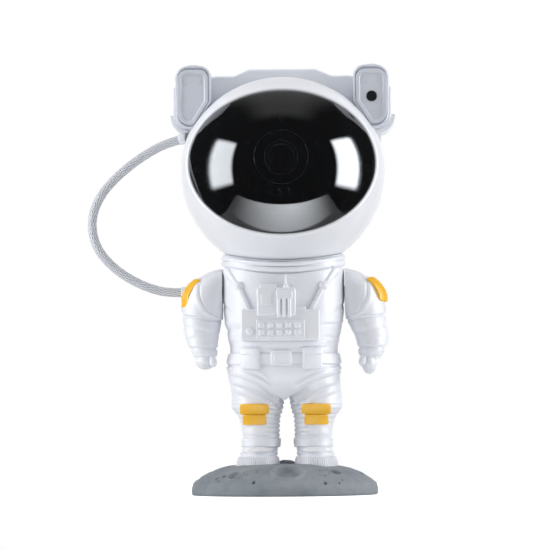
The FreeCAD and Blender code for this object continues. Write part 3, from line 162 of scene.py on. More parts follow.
def scatter_noise(points: Array, size: float, seed: int) -> Array:
    """Soft lumps: a sum of twelve waves in seeded directions whose length is about size.

    Args:
        points: Points in millimetres, shape (..., 3).
        size: Typical distance from one lump to the next.
        seed: Seed of the directions and phases.

    Returns:
        A value of about -1 to 1 at each point.
    """
    draw = np.random.default_rng(seed)
    waves = 12
    ways = draw.normal(size=(waves, 3))
    ways /= np.linalg.norm(ways, axis=1, keepdims=True)
    turns = 2 * math.pi / size * draw.uniform(0.7, 1.5, (waves, 1))
    phases = draw.uniform(0, 2 * math.pi, waves)
    return np.sin(points @ (ways * turns).T + phases).sum(-1) / math.sqrt(waves)


# ---------------------------------------------------------------- surfaces
def linked(name: str, data: bpy.types.ID) -> bpy.types.Object:
    """A new object in the scene, with this data.

    Args:
        name: The object's name.
        data: Its mesh, curve, lamp or camera.

    Returns:
        The object.
    """
    obj = bpy.data.objects.new(name, data)
    bpy.context.scene.collection.objects.link(obj)
    return obj


@dataclass
class Surface:
    """A mesh as arrays: points in millimetres and four-cornered faces."""

    points: Array
    faces: Array

    @classmethod
    def sheet(cls, grid: Array) -> "Surface":
        """The surface through a grid of points, shape (rows, columns, 3), facing away from its middle.

        Args:
            grid: Points of shape (rows, columns, 3).

        Returns:
            The surface.
        """
        rows, columns = grid.shape[:2]
        number = np.arange(rows * columns).reshape(rows, columns)
        corners = (number[:-1, :-1], number[:-1, 1:], number[1:, 1:], number[1:, :-1])
        faces = np.stack(corners, -1).reshape(-1, 4)
        return cls(grid.reshape(-1, 3), faces).facing_out()

    @classmethod
    def hoops(cls, grid: Array) -> "Surface":
        """The sheet through a grid whose last column is joined to its first."""
        return cls.sheet(np.concatenate([grid, grid[:, :1]], axis=1))

    @classmethod
    def capped(cls, grid: Array) -> "Surface":
        """The sheet through a grid, closed at each end by a fan to the middle of its last row."""
        foot, head = (grid[k].mean(axis=0) + 0 * grid[:1] for k in (0, -1))
        return cls.sheet(np.concatenate([foot, grid, head]))

    @classmethod
    def joined(cls, surfaces: Sequence["Surface"]) -> "Surface":
        """Several surfaces as one.

        Args:
            surfaces: The surfaces to join.

        Returns:
            One surface with all their points and faces.
        """
        offsets = np.cumsum([0] + [len(s.points) for s in surfaces[:-1]])
        faces = [s.faces + offset for s, offset in zip(surfaces, offsets)]
        return cls(np.concatenate([s.points for s in surfaces]), np.concatenate(faces))

    def facing_out(self) -> "Surface":
        """The same surface, turned so that the sum of its faces' cones about its middle is positive.

        Returns:
            A surface with the same points, its faces turned if they faced in.
        """
        p = self.points - self.points.mean(axis=0)
        a, b, c, d = (p[self.faces[:, k]] for k in range(4))
        cones = np.einsum("ij,ij->i", (a + b + c + d) / 4, np.cross(c - a, d - b))
        faces = self.faces if cones.sum() > 0 else self.faces[:, ::-1]
        return Surface(self.points, faces)

    def mirrored(self) -> "Surface":
        """The same surface on the other side of the plane x = 0."""
        return Surface(self.points * np.array([-1.0, 1.0, 1.0]), self.faces[:, ::-1])

    def on(self, side: Side) -> "Surface":
        """The surface, made for the right side, on the side that is asked for."""
        return self if side is Side.RIGHT else self.mirrored()

    def moved(self, x: float, y: float, z: float) -> "Surface":
        """The surface, moved."""
        return Surface(self.points + np.array([x, y, z]), self.faces)

    def to_object(self, name: str, sharp: float) -> bpy.types.Object:
        """Makes the Blender object, with coincident points welded and empty faces dropped.

        Args:
            name: Name of the object and its mesh.
            sharp: Angle between faces, in degrees, above which their edge stays sharp.

        Returns:
            The object, at the origin, with its place in its mesh, in metres.
        """
        keys = np.round(self.points / WELD).astype(np.int64)
        _, first, back = np.unique(keys, axis=0, return_index=True, return_inverse=True)
        points, faces = self.points[first], back.reshape(-1)[self.faces]
        kept = faces != np.roll(faces, 1, axis=1)
        whole = kept.sum(axis=1) >= 3
        faces, kept = faces[whole], kept[whole]
        counts = kept.sum(axis=1)
        corners = faces[kept]
        used, corners = np.unique(corners, return_inverse=True)
        mesh = bpy.data.meshes.new(name)
        mesh.vertices.add(len(used))
        mesh.vertices.foreach_set("co", (points[used] * MM).ravel())
        mesh.loops.add(len(corners))
        mesh.loops.foreach_set("vertex_index", corners.ravel())
        mesh.polygons.add(len(counts))
        mesh.polygons.foreach_set("loop_start", np.concatenate([[0], np.cumsum(counts)[:-1]]))
        mesh.update(calc_edges=True)
        mesh.validate()
        mesh.polygons.foreach_set("use_smooth", np.ones(len(mesh.polygons), bool))
        mesh.set_sharp_from_angle(angle=math.radians(sharp))
        return linked(name, mesh)


def raised(skin: Skin, u: Array, v: Array, height: Array | float, inside: tuple[float, float, float],
           step: float = 1e-3) -> Array:
    """Points of a skin moved along its normal, the cross product of its two small steps.

    Args:
        skin: Function from two parameter arrays to points.
        u: First parameter.
        v: Second parameter.
        height: Distance along the normal, positive to the outside.
        inside: A point inside the skin.
        step: Size of the small steps.

    Returns:
        The moved points.
    """
    here = skin(u, v)
    along = skin(u + step, v) - skin(u - step, v)
    across = skin(u, v + step) - skin(u, v - step)
    normal = np.cross(along, across)
    normal /= np.maximum(np.linalg.norm(normal, axis=-1, keepdims=True), 1e-12)
    sign = np.sign(np.sum(normal * (here - np.array(inside))))
    return here + normal * sign * np.asarray(height)[..., None]


@dataclass(frozen=True)
class Outline:
    """A closed outline of rounded corners in the XZ plane: points and their outward normals."""

    points: Array
    normals: Array

    @classmethod
    def of(cls, corners: Sequence[tuple[float, float, float]], arc: int = 9, run: float = 1.2) -> "Outline":
        """Rounds each (x, z, radius) corner with an arc, and cuts the straight runs into short ones.

        The arc's centre lies on the corner's bisector at radius / sin(half angle), and offsets of the outline
        are its points moved along their normals.

        Args:
            corners: The corners in order, either way round.
            arc: Number of points on each arc.
            run: Longest distance between points on a straight run.

        Returns:
            The outline.
        """
        c = np.array(corners, float)
        here, radius = c[:, :2], c[:, 2]
        back, on = np.roll(here, 1, axis=0) - here, np.roll(here, -1, axis=0) - here
        turning = np.sign(np.sum(here[:, 0] * np.roll(here[:, 1], -1) - here[:, 1] * np.roll(here[:, 0], -1)))
        back /= np.linalg.norm(back, axis=1, keepdims=True)
        on /= np.linalg.norm(on, axis=1, keepdims=True)
        half = np.arccos(np.clip(np.sum(back * on, axis=1), -1, 1)) / 2
        bisector = back + on
        bisector /= np.linalg.norm(bisector, axis=1, keepdims=True)
        centre = here + bisector * (radius / np.sin(half))[:, None]
        convex = -np.sign(back[:, 0] * on[:, 1] - back[:, 1] * on[:, 0]) * turning
        start = here + back * (radius / np.tan(half))[:, None]
        end = here + on * (radius / np.tan(half))[:, None]
        points, normals = [], []
        for k in range(len(c)):
            first = math.atan2(*(start[k] - centre[k])[::-1])
            last = math.atan2(*(end[k] - centre[k])[::-1])
            sweep = (last - first + math.pi) % (2 * math.pi) - math.pi
            angle = first + sweep * np.linspace(0, 1, arc)
            ray = np.stack([np.cos(angle), np.sin(angle)], -1)
            points.append(centre[k] + radius[k] * ray)
            normals.append(ray * convex[k])
            gap = start[(k + 1) % len(c)] - end[k]
            pieces = max(int(np.linalg.norm(gap) / run), 1)
            share = np.arange(1, pieces)[:, None] / pieces
            points.append(end[k] + gap * share)
            normals.append(np.repeat(normals[-1][-1:], pieces - 1, axis=0))
        return cls(np.concatenate(points), np.concatenate(normals))

    def inset(self, distance: float) -> Array:
        """The outline's points moved inwards."""
        return self.points - self.normals * distance


def rounded_edge(y_from: float, y_to: float, radius: float, steps: int = 5) -> list[tuple[float, float]]:
    """(inset, y) pairs from a side at y_from round a quarter circle to the face at y_to.

    Args:
        y_from: Where the side starts.
        y_to: Where the face is.
        radius: Radius of the edge.
        steps: Points on the quarter circle.

    Returns:
        The pairs, from the side to the face.
    """
    way = 1 if y_to > y_from else -1
    turn = np.linspace(0, math.pi / 2, steps)
    inset = radius * (1 - np.cos(turn))
    y = y_to - way * radius * (1 - np.sin(turn))
    return [(0.0, y_from)] + list(zip(inset.tolist(), y.tolist()))


def slab(outline: Outline, profile: Sequence[tuple[float, float]], fill: int = 4) -> Surface:
    """A closed slab along Y: the outline carried through (inset, y) pairs, its ends filled towards their middle.

    Args:
        outline: The slab's outline in the XZ plane.
        profile: The insets and places in y from one end to the other.
        fill: Rings in each end face.

    Returns:
        The closed surface.
    """
    rings = [np.insert(outline.inset(inset), 1, y, axis=1) for inset, y in profile]
    share = np.linspace(0, 1, fill + 1)[:-1, None, None]

    def face(ring: Array) -> Array:
        """Rings that shrink to the middle of this one."""
        middle = ring.mean(axis=0)
        return middle + (ring - middle) * share

    return Surface.hoops(np.concatenate([face(rings[0]), np.stack(rings), face(rings[-1])[::-1]]))


def plate(x: tuple[float, float], z: tuple[float, float], y: tuple[float, float], corner: float,
          edge: float, arc: int = 5) -> Surface:
    """A rounded rectangle that rises from y[0] to its face at y[1], with rounded corners and edge."""
    corners = [(x[1], z[1], corner), (x[1], z[0], corner), (x[0], z[0], corner), (x[0], z[1], corner)]
    return slab(Outline.of(corners, arc=arc, run=3.0), rounded_edge(y[0], y[1], edge, 4), fill=2)


def revolved(profile: Sequence[tuple[float, float]], centre: Array, axis: Axis, columns: int = 64) -> Surface:
    """(radius, height) pairs turned about an axis through centre: the point is radius * (cos, sin), height.

    Args:
        profile: The pairs.
        centre: A point on the axis.
        axis: The axis's direction.
        columns: Faces round the axis.

    Returns:
        The surface.
    """
    r, h = np.array(profile, float).T
    turn = np.linspace(0, 2 * math.pi, columns + 1)
    across, up = r[:, None] * np.cos(turn), r[:, None] * np.sin(turn)
    along = np.repeat(h[:, None], columns + 1, axis=1)
    order = {Axis.X: (along, across, up), Axis.Y: (up, along, across), Axis.Z: (across, up, along)}[axis]
    return Surface.sheet(np.stack(order, -1) + np.asarray(centre, float))


def tube(path: Array, radius: Array | float, flat: Array, columns: int = 20) -> Surface:
    """A round tube along a path, closed to a point at each end.

    The ring at each point is side * cos + up * sin, where side is the path's direction crossed with flat.

    Args:
        path: Points of the centre line, shape (n, 3).
        radius: Radius, or one for each point.
        flat: A direction that the path never runs along.
        columns: Points round the tube.

    Returns:
        The closed surface.
    """
    ahead = np.gradient(path, axis=0)
    ahead /= np.linalg.norm(ahead, axis=1, keepdims=True)
    side = np.cross(ahead, np.asarray(flat, float))
    side /= np.linalg.norm(side, axis=1, keepdims=True)
    up = np.cross(side, ahead)
    turn = np.linspace(0, 2 * math.pi, columns + 1)[None, :, None]
    reach = np.broadcast_to(radius, (len(path),))[:, None, None]
    grid = path[:, None] + reach * (side[:, None] * np.cos(turn) + up[:, None] * np.sin(turn))
    ends = [np.repeat(path[k][None, None], columns + 1, axis=1) for k in (0, -1)]
    return Surface.sheet(np.concatenate([ends[0], grid, ends[1]]))


def sphere(rows: int, columns: int) -> Array:
    """Unit directions (sin v cos u, sin v sin u, cos v) on a grid from pole to pole and round Z."""
    v, u = np.meshgrid(np.linspace(0, math.pi, rows), np.linspace(0, 2 * math.pi, columns + 1), indexing="ij")
    return np.stack([np.sin(v) * np.cos(u), np.sin(v) * np.sin(u), np.cos(v)], -1)


def ball(centre: Sequence[float], half: Sequence[float], rows: int = 20, columns: int = 32) -> Surface:
    """An ellipsoid.

    Args:
        centre: The middle.
        half: Half sizes along X, Y and Z.
        rows: Points from pole to pole.
        columns: Faces round Z.

    Returns:
        The surface.
    """
    return Surface.sheet(sphere(rows, columns) * np.array(half) + np.array(centre, float))


def badge(skin: Skin, middle: tuple[float, float], half: tuple[float, float], height: float,
          depth: float, edge: float, inside: tuple[float, float, float], power: float = 6.0,
          columns: int = 96) -> Surface:
    """A pad that lies on a skin: its plan is |u|^n + |v|^n = 1, and its rim a quarter circle.

    Args:
        skin: Function from two parameters, in millimetres, to points.
        middle: The pad's middle in the two parameters.
        half: Half its size along each.
        height: Height of its face above the skin.
        depth: How far its underside lies below the skin.
        edge: Radius of its rim.
        inside: A point inside the skin.
        power: The n of its plan; more is squarer.
        columns: Points round its rim.

    Returns:
        The closed surface.
    """
    turn = np.linspace(0, 2 * math.pi, columns + 1)
    c, s = np.cos(turn), np.sin(turn)
    reach = (np.abs(c) ** power + np.abs(s) ** power) ** (-1 / power)
    small = min(half)
    rim = np.linspace(0, math.pi / 2, 6)
    inner = 1 - edge / small
    scale = np.concatenate([np.linspace(0, inner, 10), inner + edge / small * np.sin(rim[1:]), [1.0], [0.5, 0.0]])
    level = np.concatenate([np.full(10, height), height - edge * (1 - np.cos(rim[1:])), [-depth] * 3])
    u = middle[0] + half[0] * scale[:, None] * reach * c
    v = middle[1] + half[1] * scale[:, None] * reach * s
    return Surface.sheet(raised(skin, u, v, np.repeat(level[:, None], columns + 1, axis=1), inside))


# ---------------------------------------------------------------- finishes
def linear(colour: str) -> tuple[float, float, float, float]:
    """An sRGB colour written #rrggbb, as linear red, green, blue and an alpha of 1.

    Args:
        colour: The colour as #rrggbb.

    Returns:
        Red, green, blue and alpha.
    """
    parts = [int(colour[k:k + 2], 16) / 255 for k in (1, 3, 5)]
    r, g, b = (p / 12.92 if p <= 0.04045 else ((p + 0.055) / 1.055) ** 2.4 for p in parts)
    return r, g, b, 1.0


def node(tree: bpy.types.NodeTree, kind: str, settings: dict | None = None, **inputs) -> bpy.types.Node:
    """Adds a node.

    Args:
        tree: The tree it goes into.
        kind: Blender's name of the node's type.
        settings: The node's own properties.
        inputs: Its inputs by name, with _ for a space; a socket is linked and anything else is a value.

    Returns:
        The node.
    """
    made = tree.nodes.new(kind)
    for name, value in (settings or {}).items():
        setattr(made, name, value)
    for name, value in inputs.items():
        wanted = name.replace("_", " ").strip()
        socket = made.inputs[int(wanted)] if wanted.isdigit() else made.inputs[wanted]
        if isinstance(value, bpy.types.NodeSocket):
            tree.links.new(value, socket)
        else:
            socket.default_value = value
    return made


def maths(tree: bpy.types.NodeTree, operation: str, first: bpy.types.NodeSocket | float,
          second: bpy.types.NodeSocket | float) -> bpy.types.NodeSocket:
    """The result of a calculation with two numbers."""
    return node(tree, "ShaderNodeMath", {"operation": operation}, _0=first, _1=second).outputs[0]


def s_curve(tree: bpy.types.NodeTree, value: bpy.types.NodeSocket, low: float, high: float,
            first: float = 0.0, last: float = 1.0) -> bpy.types.NodeSocket:
    """The result of an S-curve over a value.

    Args:
        tree: The tree it goes into.
        value: The socket it starts from.
        low: Where the curve leaves its first level.
        high: Where it has come to its last level.
        first: Its level up to low.
        last: Its level from high on.

    Returns:
        The level.
    """
    made = node(tree, "ShaderNodeMapRange", {"interpolation_type": "SMOOTHSTEP"}, Value=value,
                From_Min=low, From_Max=high, To_Min=first, To_Max=last)
    return made.outputs["Result"]


def bare_tree(owner: bpy.types.ID) -> bpy.types.NodeTree:
    """The owner's node tree, switched on and emptied.

    Args:
        owner: A material, world or lamp.

    Returns:
        Its tree without nodes.
    """
    owner.use_nodes = True
    owner.node_tree.nodes.clear()
    return owner.node_tree


def ramp(tree: bpy.types.NodeTree, factor: bpy.types.NodeSocket,
         stops: Sequence[tuple[float, tuple]]) -> bpy.types.NodeSocket:
    """Adds a colour ramp with the given stops and returns its colour.

    Args:
        tree: The tree it goes into.
        factor: The socket with the place on the ramp.
        stops: (place, colour) pairs in rising order.

    Returns:
        The ramp's colour.
    """
    made = node(tree, "ShaderNodeValToRGB", Fac=factor)
    elements = made.color_ramp.elements
    while len(elements) < len(stops):
        elements.new(0.5)
    for element, (at, colour) in zip(elements, stops):
        element.position, element.color = at, colour
    return made.outputs["Color"]


@dataclass(frozen=True)
class Finish:
    """What every finish shares: its name, its shader's even values and how it is put on an object."""

    name: str
    roughness: float = 0.4
    ior: float = 1.46

    def shader(self, tree: bpy.types.NodeTree, **inputs) -> bpy.types.Node:
        """A Principled shader joined to the material's output.

        Args:
            tree: The tree it goes into.
            inputs: Inputs that differ from the finish's own.

        Returns:
            The shader node.
        """
        values = {"Roughness": self.roughness, **inputs}
        made = node(tree, "ShaderNodeBsdfPrincipled", **values)
        made.inputs["IOR"].default_value = self.ior
        node(tree, "ShaderNodeOutputMaterial", Surface=made.outputs["BSDF"])
        return made

    def draw(self, tree: bpy.types.NodeTree) -> None:
        """Adds this finish's nodes; each kind of finish has its own."""
        raise NotImplementedError

    def material(self) -> bpy.types.Material:
        """The finish's material, made once.

        Returns:
            The material.
        """
        found = bpy.data.materials.get("finish_" + self.name)
        if found:
            return found
        made = bpy.data.materials.new("finish_" + self.name)
        self.draw(bare_tree(made))
        return made

    def put_on(self, obj: bpy.types.Object) -> None:
        """Gives an object this finish in all its slots.

        Args:
            obj: The object.
        """
        if not obj.data.materials:
            obj.data.materials.append(None)
        for k in range(len(obj.data.materials)):
            obj.data.materials[k] = self.material()


def place(tree: bpy.types.NodeTree) -> bpy.types.NodeSocket:
    """The point on the object, in metres, for patterns that stay on it."""
    return node(tree, "ShaderNodeTexCoord").outputs["Object"]


@dataclass(frozen=True)
class MouldedPlastic(Finish):
    """Injection-moulded ABS from a spark-eroded tool: even colour, soft sheen, a fine sandy grain.

    The grain is 0.35 mm, a little coarser than the real 0.1 mm, so that it still shows at this distance.
    """

    colour: str = "#e6e8ec"
    shade: str = "#dfe2e8"
    grain_mm: float = 0.35
    grain_depth: float = 0.05
    cloud_mm: float = 22.0
    scatter: float = 0.0

    def draw(self, tree: bpy.types.NodeTree) -> None:
        """Clouds of two near colours, a sandy bump and roughness that varies with the clouds.

        Args:
            tree: The material's tree.
        """
        at = place(tree)
        cloud = node(tree, "ShaderNodeTexNoise", Vector=at, Scale=1 / (self.cloud_mm * MM), Detail=3.0)
        colour = ramp(tree, cloud.outputs["Fac"], [(0.35, linear(self.shade)), (0.65, linear(self.colour))])
        rough = node(tree, "ShaderNodeMapRange", Value=cloud.outputs["Fac"], To_Min=self.roughness - 0.04,
                     To_Max=self.roughness + 0.04)
        grain = node(tree, "ShaderNodeTexNoise", Vector=at, Scale=1 / (self.grain_mm * MM), Detail=2.0)
        sand = node(tree, "ShaderNodeBump", Height=grain.outputs["Fac"], Strength=0.25,
                    Distance=self.grain_depth * MM)
        made = self.shader(tree, Base_Color=colour, Roughness=rough.outputs["Result"],
                           Normal=sand.outputs["Normal"])
        if self.scatter:
            made.inputs["Subsurface Weight"].default_value = self.scatter
            made.inputs["Subsurface Radius"].default_value = (1.0, 0.9, 0.8)
            made.inputs["Subsurface Scale"].default_value = 0.8 * MM


@dataclass(frozen=True)
class SmokedPolycarbonate(Finish):
    """Polished smoked polycarbonate: nearly black, mirror smooth, and a little light comes through it."""

    tint: str = "#26282c"
    clear: float = 0.985
    coat: float = 1.0

    def draw(self, tree: bpy.types.NodeTree) -> None:
        """Tinted glass under a hard clear coat, with the faint long waves of a moulded pane.

        Args:
            tree: The material's tree.
        """
        at = place(tree)
        wave = node(tree, "ShaderNodeTexNoise", Vector=at, Scale=1 / (60 * MM), Detail=1.0)
        bend = node(tree, "ShaderNodeBump", Height=wave.outputs["Fac"], Strength=0.2, Distance=0.02 * MM)
        made = self.shader(tree, Base_Color=linear(self.tint), Normal=bend.outputs["Normal"])
        made.inputs["Transmission Weight"].default_value = self.clear
        made.inputs["Coat Weight"].default_value = self.coat
        made.inputs["Coat Roughness"].default_value = 0.02
        made.inputs["Coat IOR"].default_value = 1.6


@dataclass(frozen=True)
class CastRegolith(Finish):
    """Painted polyresin cast like moon rock: matt grey with paler dust, painted shade in its pores and a gritty face.
    """

    colour: str = "#838a90"
    pale: str = "#8f959a"
    dark: str = "#757c83"

    def draw(self, tree: bpy.types.NodeTree) -> None:
        """Three greys in patches, pores from a cell pattern that sink the bump and darken the colour as painted
        shade, and a bump of grit at two sizes.

        Args:
            tree: The material's tree.
        """
        at = place(tree)
        patch = node(tree, "ShaderNodeTexNoise", Vector=at, Scale=1 / (16 * MM), Detail=6.0, Roughness=0.62)
        colour = ramp(tree, patch.outputs["Fac"], [(0.3, linear(self.dark)), (0.5, linear(self.colour)),
                                                   (0.72, linear(self.pale))])
        pores = node(tree, "ShaderNodeTexVoronoi", Vector=at, Scale=1 / (3.2 * MM))
        pitted = ramp(tree, pores.outputs["Distance"], [(0.05, (0.35, 0.35, 0.35, 1)), (0.16, (1, 1, 1, 1))])
        # painted shade: the colour darkens towards each pore's middle, where the bump sinks
        pore_shaded = node(tree, "ShaderNodeMix", {"data_type": "RGBA", "blend_type": "MULTIPLY"})
        pore_shaded.inputs["Factor"].default_value = 0.2
        tree.links.new(colour, pore_shaded.inputs["A"])
        tree.links.new(pitted, pore_shaded.inputs["B"])
        grit = node(tree, "ShaderNodeTexNoise", Vector=at, Scale=1 / (0.8 * MM), Detail=5.0, Roughness=0.7)
        height = node(tree, "ShaderNodeMath", {"operation": "MULTIPLY_ADD"}, _0=pitted, _1=0.6,
                      _2=grit.outputs["Fac"])
        bump = node(tree, "ShaderNodeBump", Height=height.outputs[0], Strength=0.2, Distance=0.12 * MM)
        self.shader(tree, Base_Color=pore_shaded.outputs["Result"], Normal=bump.outputs["Normal"])


@dataclass(frozen=True)
class BraidedSleeve(Finish):
    """Braided polyester sleeve: pale glossy filaments in flat strands, with painted shade in the gaps where they
    cross and a painted highlight on the strands' tops.
    """

    colour: str = "#b6bac3"
    # gap: painted shade, the colour of the low gaps between the strands
    gap: str = "#2c3038"
    filament_mm: float = 0.16

    def draw(self, tree: bpy.types.NodeTree) -> None:
        """Colour by the braid's relief, which the mesh keeps as an attribute: painted shade in the low gaps and a
        painted highlight on the highest strands; fine filaments as bump.

        Args:
            tree: The material's tree.
        """
        relief = node(tree, "ShaderNodeAttribute", {"attribute_name": "relief"}).outputs["Fac"]
        # painted shade where the braid is low, and a painted highlight, #e6e8ec, where it is highest
        colour = ramp(tree, relief, [(0.3, linear(self.gap)), (0.68, linear(self.colour)),
                                     (1.0, linear("#e6e8ec"))])
        run = node(tree, "ShaderNodeUVMap", {"uv_map": "braid"}).outputs["UV"]
        threads = node(tree, "ShaderNodeTexWave", {"bands_direction": "DIAGONAL"}, Vector=run,
                       Scale=1 / (self.filament_mm * 20), Distortion=0.5)
        bump = node(tree, "ShaderNodeBump", Height=threads.outputs["Fac"], Strength=0.2, Distance=0.05 * MM)
        made = self.shader(tree, Base_Color=colour, Normal=bump.outputs["Normal"])
        made.inputs["Sheen Weight"].default_value = 0.25


@dataclass(frozen=True)
class Metal(Finish):
    """Bare or plated metal: its colour is its reflection, with turning or rolling marks along one axis."""

    colour: str = "#b9bcc1"
    mark_mm: float = 0.25
    stretch: tuple[float, float, float] = (1.0, 12.0, 1.0)

    def draw(self, tree: bpy.types.NodeTree) -> None:
        """Long streaks that vary the roughness and the bump.

        Args:
            tree: The material's tree.
        """
        scale = node(tree, "ShaderNodeMapping", Vector=place(tree), Scale=self.stretch)
        marks = node(tree, "ShaderNodeTexNoise", Vector=scale.outputs["Vector"], Scale=1 / (self.mark_mm * MM * 8),
                     Detail=3.0)
        rough = node(tree, "ShaderNodeMapRange", Value=marks.outputs["Fac"], To_Min=self.roughness * 0.8,
                     To_Max=self.roughness * 1.25)
        bump = node(tree, "ShaderNodeBump", Height=marks.outputs["Fac"], Strength=0.2, Distance=0.02 * MM)
        made = self.shader(tree, Base_Color=linear(self.colour), Roughness=rough.outputs["Result"],
                           Normal=bump.outputs["Normal"])
        made.inputs["Metallic"].default_value = 1.0


@dataclass(frozen=True)
class ClearMoulding(Finish):
    """Clear acrylic or glass: sharp highlights and what lies behind it."""

    tint: str = "#f2f6fa"

    def draw(self, tree: bpy.types.NodeTree) -> None:
        """Clear glass with the slightest ripple.

        Args:
            tree: The material's tree.
        """
        wave = node(tree, "ShaderNodeTexNoise", Vector=place(tree), Scale=1 / (4 * MM))
        bend = node(tree, "ShaderNodeBump", Height=wave.outputs["Fac"], Strength=0.1, Distance=0.02 * MM)
        made = self.shader(tree, Base_Color=linear(self.tint), Normal=bend.outputs["Normal"])
        made.inputs["Transmission Weight"].default_value = 1.0


HELMET_WHITE = MouldedPlastic("moulded_abs_helmet", 0.32, 1.52, "#eceef3", "#e8eaef", scatter=0.1)
SUIT_WHITE = MouldedPlastic("moulded_abs_suit", 0.42, 1.52, "#e9ebf1", "#e4e6ec", scatter=0.1)
HEADSET_GREY = MouldedPlastic("moulded_abs_headset", 0.38, 1.52, "#e2e6ee", "#dee2ea")
POD_GREY = MouldedPlastic("moulded_abs_pod", 0.38, 1.52, "#d2d6e0", "#ced2dc")
CAP_GREY = MouldedPlastic("moulded_abs_cap", 0.34, 1.52, "#d4d8e2", "#d0d4de")
BUTTON_GREY = MouldedPlastic("moulded_abs_button", 0.3, 1.52, "#8d929b", "#868b94")
BADGE_YELLOW = MouldedPlastic("pad_printed_abs_yellow", 0.34, 1.5, "#f6be30", "#f2b82a", cloud_mm=9.0)
RECEIVER_BLACK = MouldedPlastic("infrared_polycarbonate", 0.12, 1.58, "#24262c", "#202228", grain_depth=0.01)
INNER_BLACK = MouldedPlastic("moulded_nylon_black", 0.4, 1.52, "#17181a", "#131416")
PAD_RUBBER = MouldedPlastic("silicone_rubber", 0.75, 1.41, "#33363a", "#2d3034", grain_depth=0.1)
COVER_GREY = MouldedPlastic("moulded_abs_cover", 0.5, 1.52, "#5b6067", "#555a61")
BOARD_GREEN = MouldedPlastic("solder_mask_green", 0.35, 1.5, "#1f5a3c", "#1b5136", cloud_mm=6.0)
LAMP_WHITE = MouldedPlastic("white_solder_mask", 0.4, 1.5, "#e8e8e2", "#e0e0da")
VISOR_SMOKE = SmokedPolycarbonate("smoked_polycarbonate", 0.02, 1.586, "#8a8d94")
MOON_GREY = CastRegolith("cast_polyresin_moon", 0.85, 1.5)
HOSE_BRAID = BraidedSleeve("braided_polyester", 0.45, 1.57)
NICKEL = Metal("nickel_plated_brass", 0.28, colour="#d4d6da")
SCREW_GREY = MouldedPlastic("screw_plug_grey", 0.3, 1.52, "#e6e9f0", "#e2e5ec", grain_depth=0.01)
STEEL = Metal("zinc_plated_steel", 0.35, colour="#a9adb3")
BRASS = Metal("turned_brass", 0.3, colour="#c9a457")
ALUMINIUM = Metal("extruded_aluminium", 0.4, colour="#c3c6ca", stretch=(1.0, 1.0, 14.0))
FERRITE = Metal("sintered_magnet", 0.5, colour="#8e9094")
OPTICAL_GLASS = ClearMoulding("optical_acrylic", 0.02, 1.49)


# ---------------------------------------------------------------- what every sub-assembly does
@dataclass
class SubAssembly:
    """A part of the projector that adds its own pieces and dresses packed ones."""

    frame: dict
    body: str = "body"

    def add(self, name: str, surface: Surface, finish: Finish, slot: str, replaces: Sequence[str] = (),
            body: str | None = None, sharp: float = 40.0) -> bpy.types.Object:
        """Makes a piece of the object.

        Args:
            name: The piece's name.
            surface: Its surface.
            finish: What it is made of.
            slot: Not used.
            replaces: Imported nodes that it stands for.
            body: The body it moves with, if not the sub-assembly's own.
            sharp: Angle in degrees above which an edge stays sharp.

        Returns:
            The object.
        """
        obj = surface.to_object(name, sharp)
        finish.put_on(obj)
        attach(obj, body or self.body)
        if replaces:
            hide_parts(*replaces)
        LOG.info("%s: %d faces of %s", name, len(obj.data.polygons), finish.name)
        return obj

    def dress(self, names: Sequence[str], finish: Finish) -> None:
        """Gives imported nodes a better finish, and leaves their shape alone.

        Args:
            names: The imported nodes' names.
            finish: The finish they get.
        """
        for name in names:
            finish.put_on(self.frame["nodes"][name])
            LOG.info("%s: dressed in %s", name, finish.name)


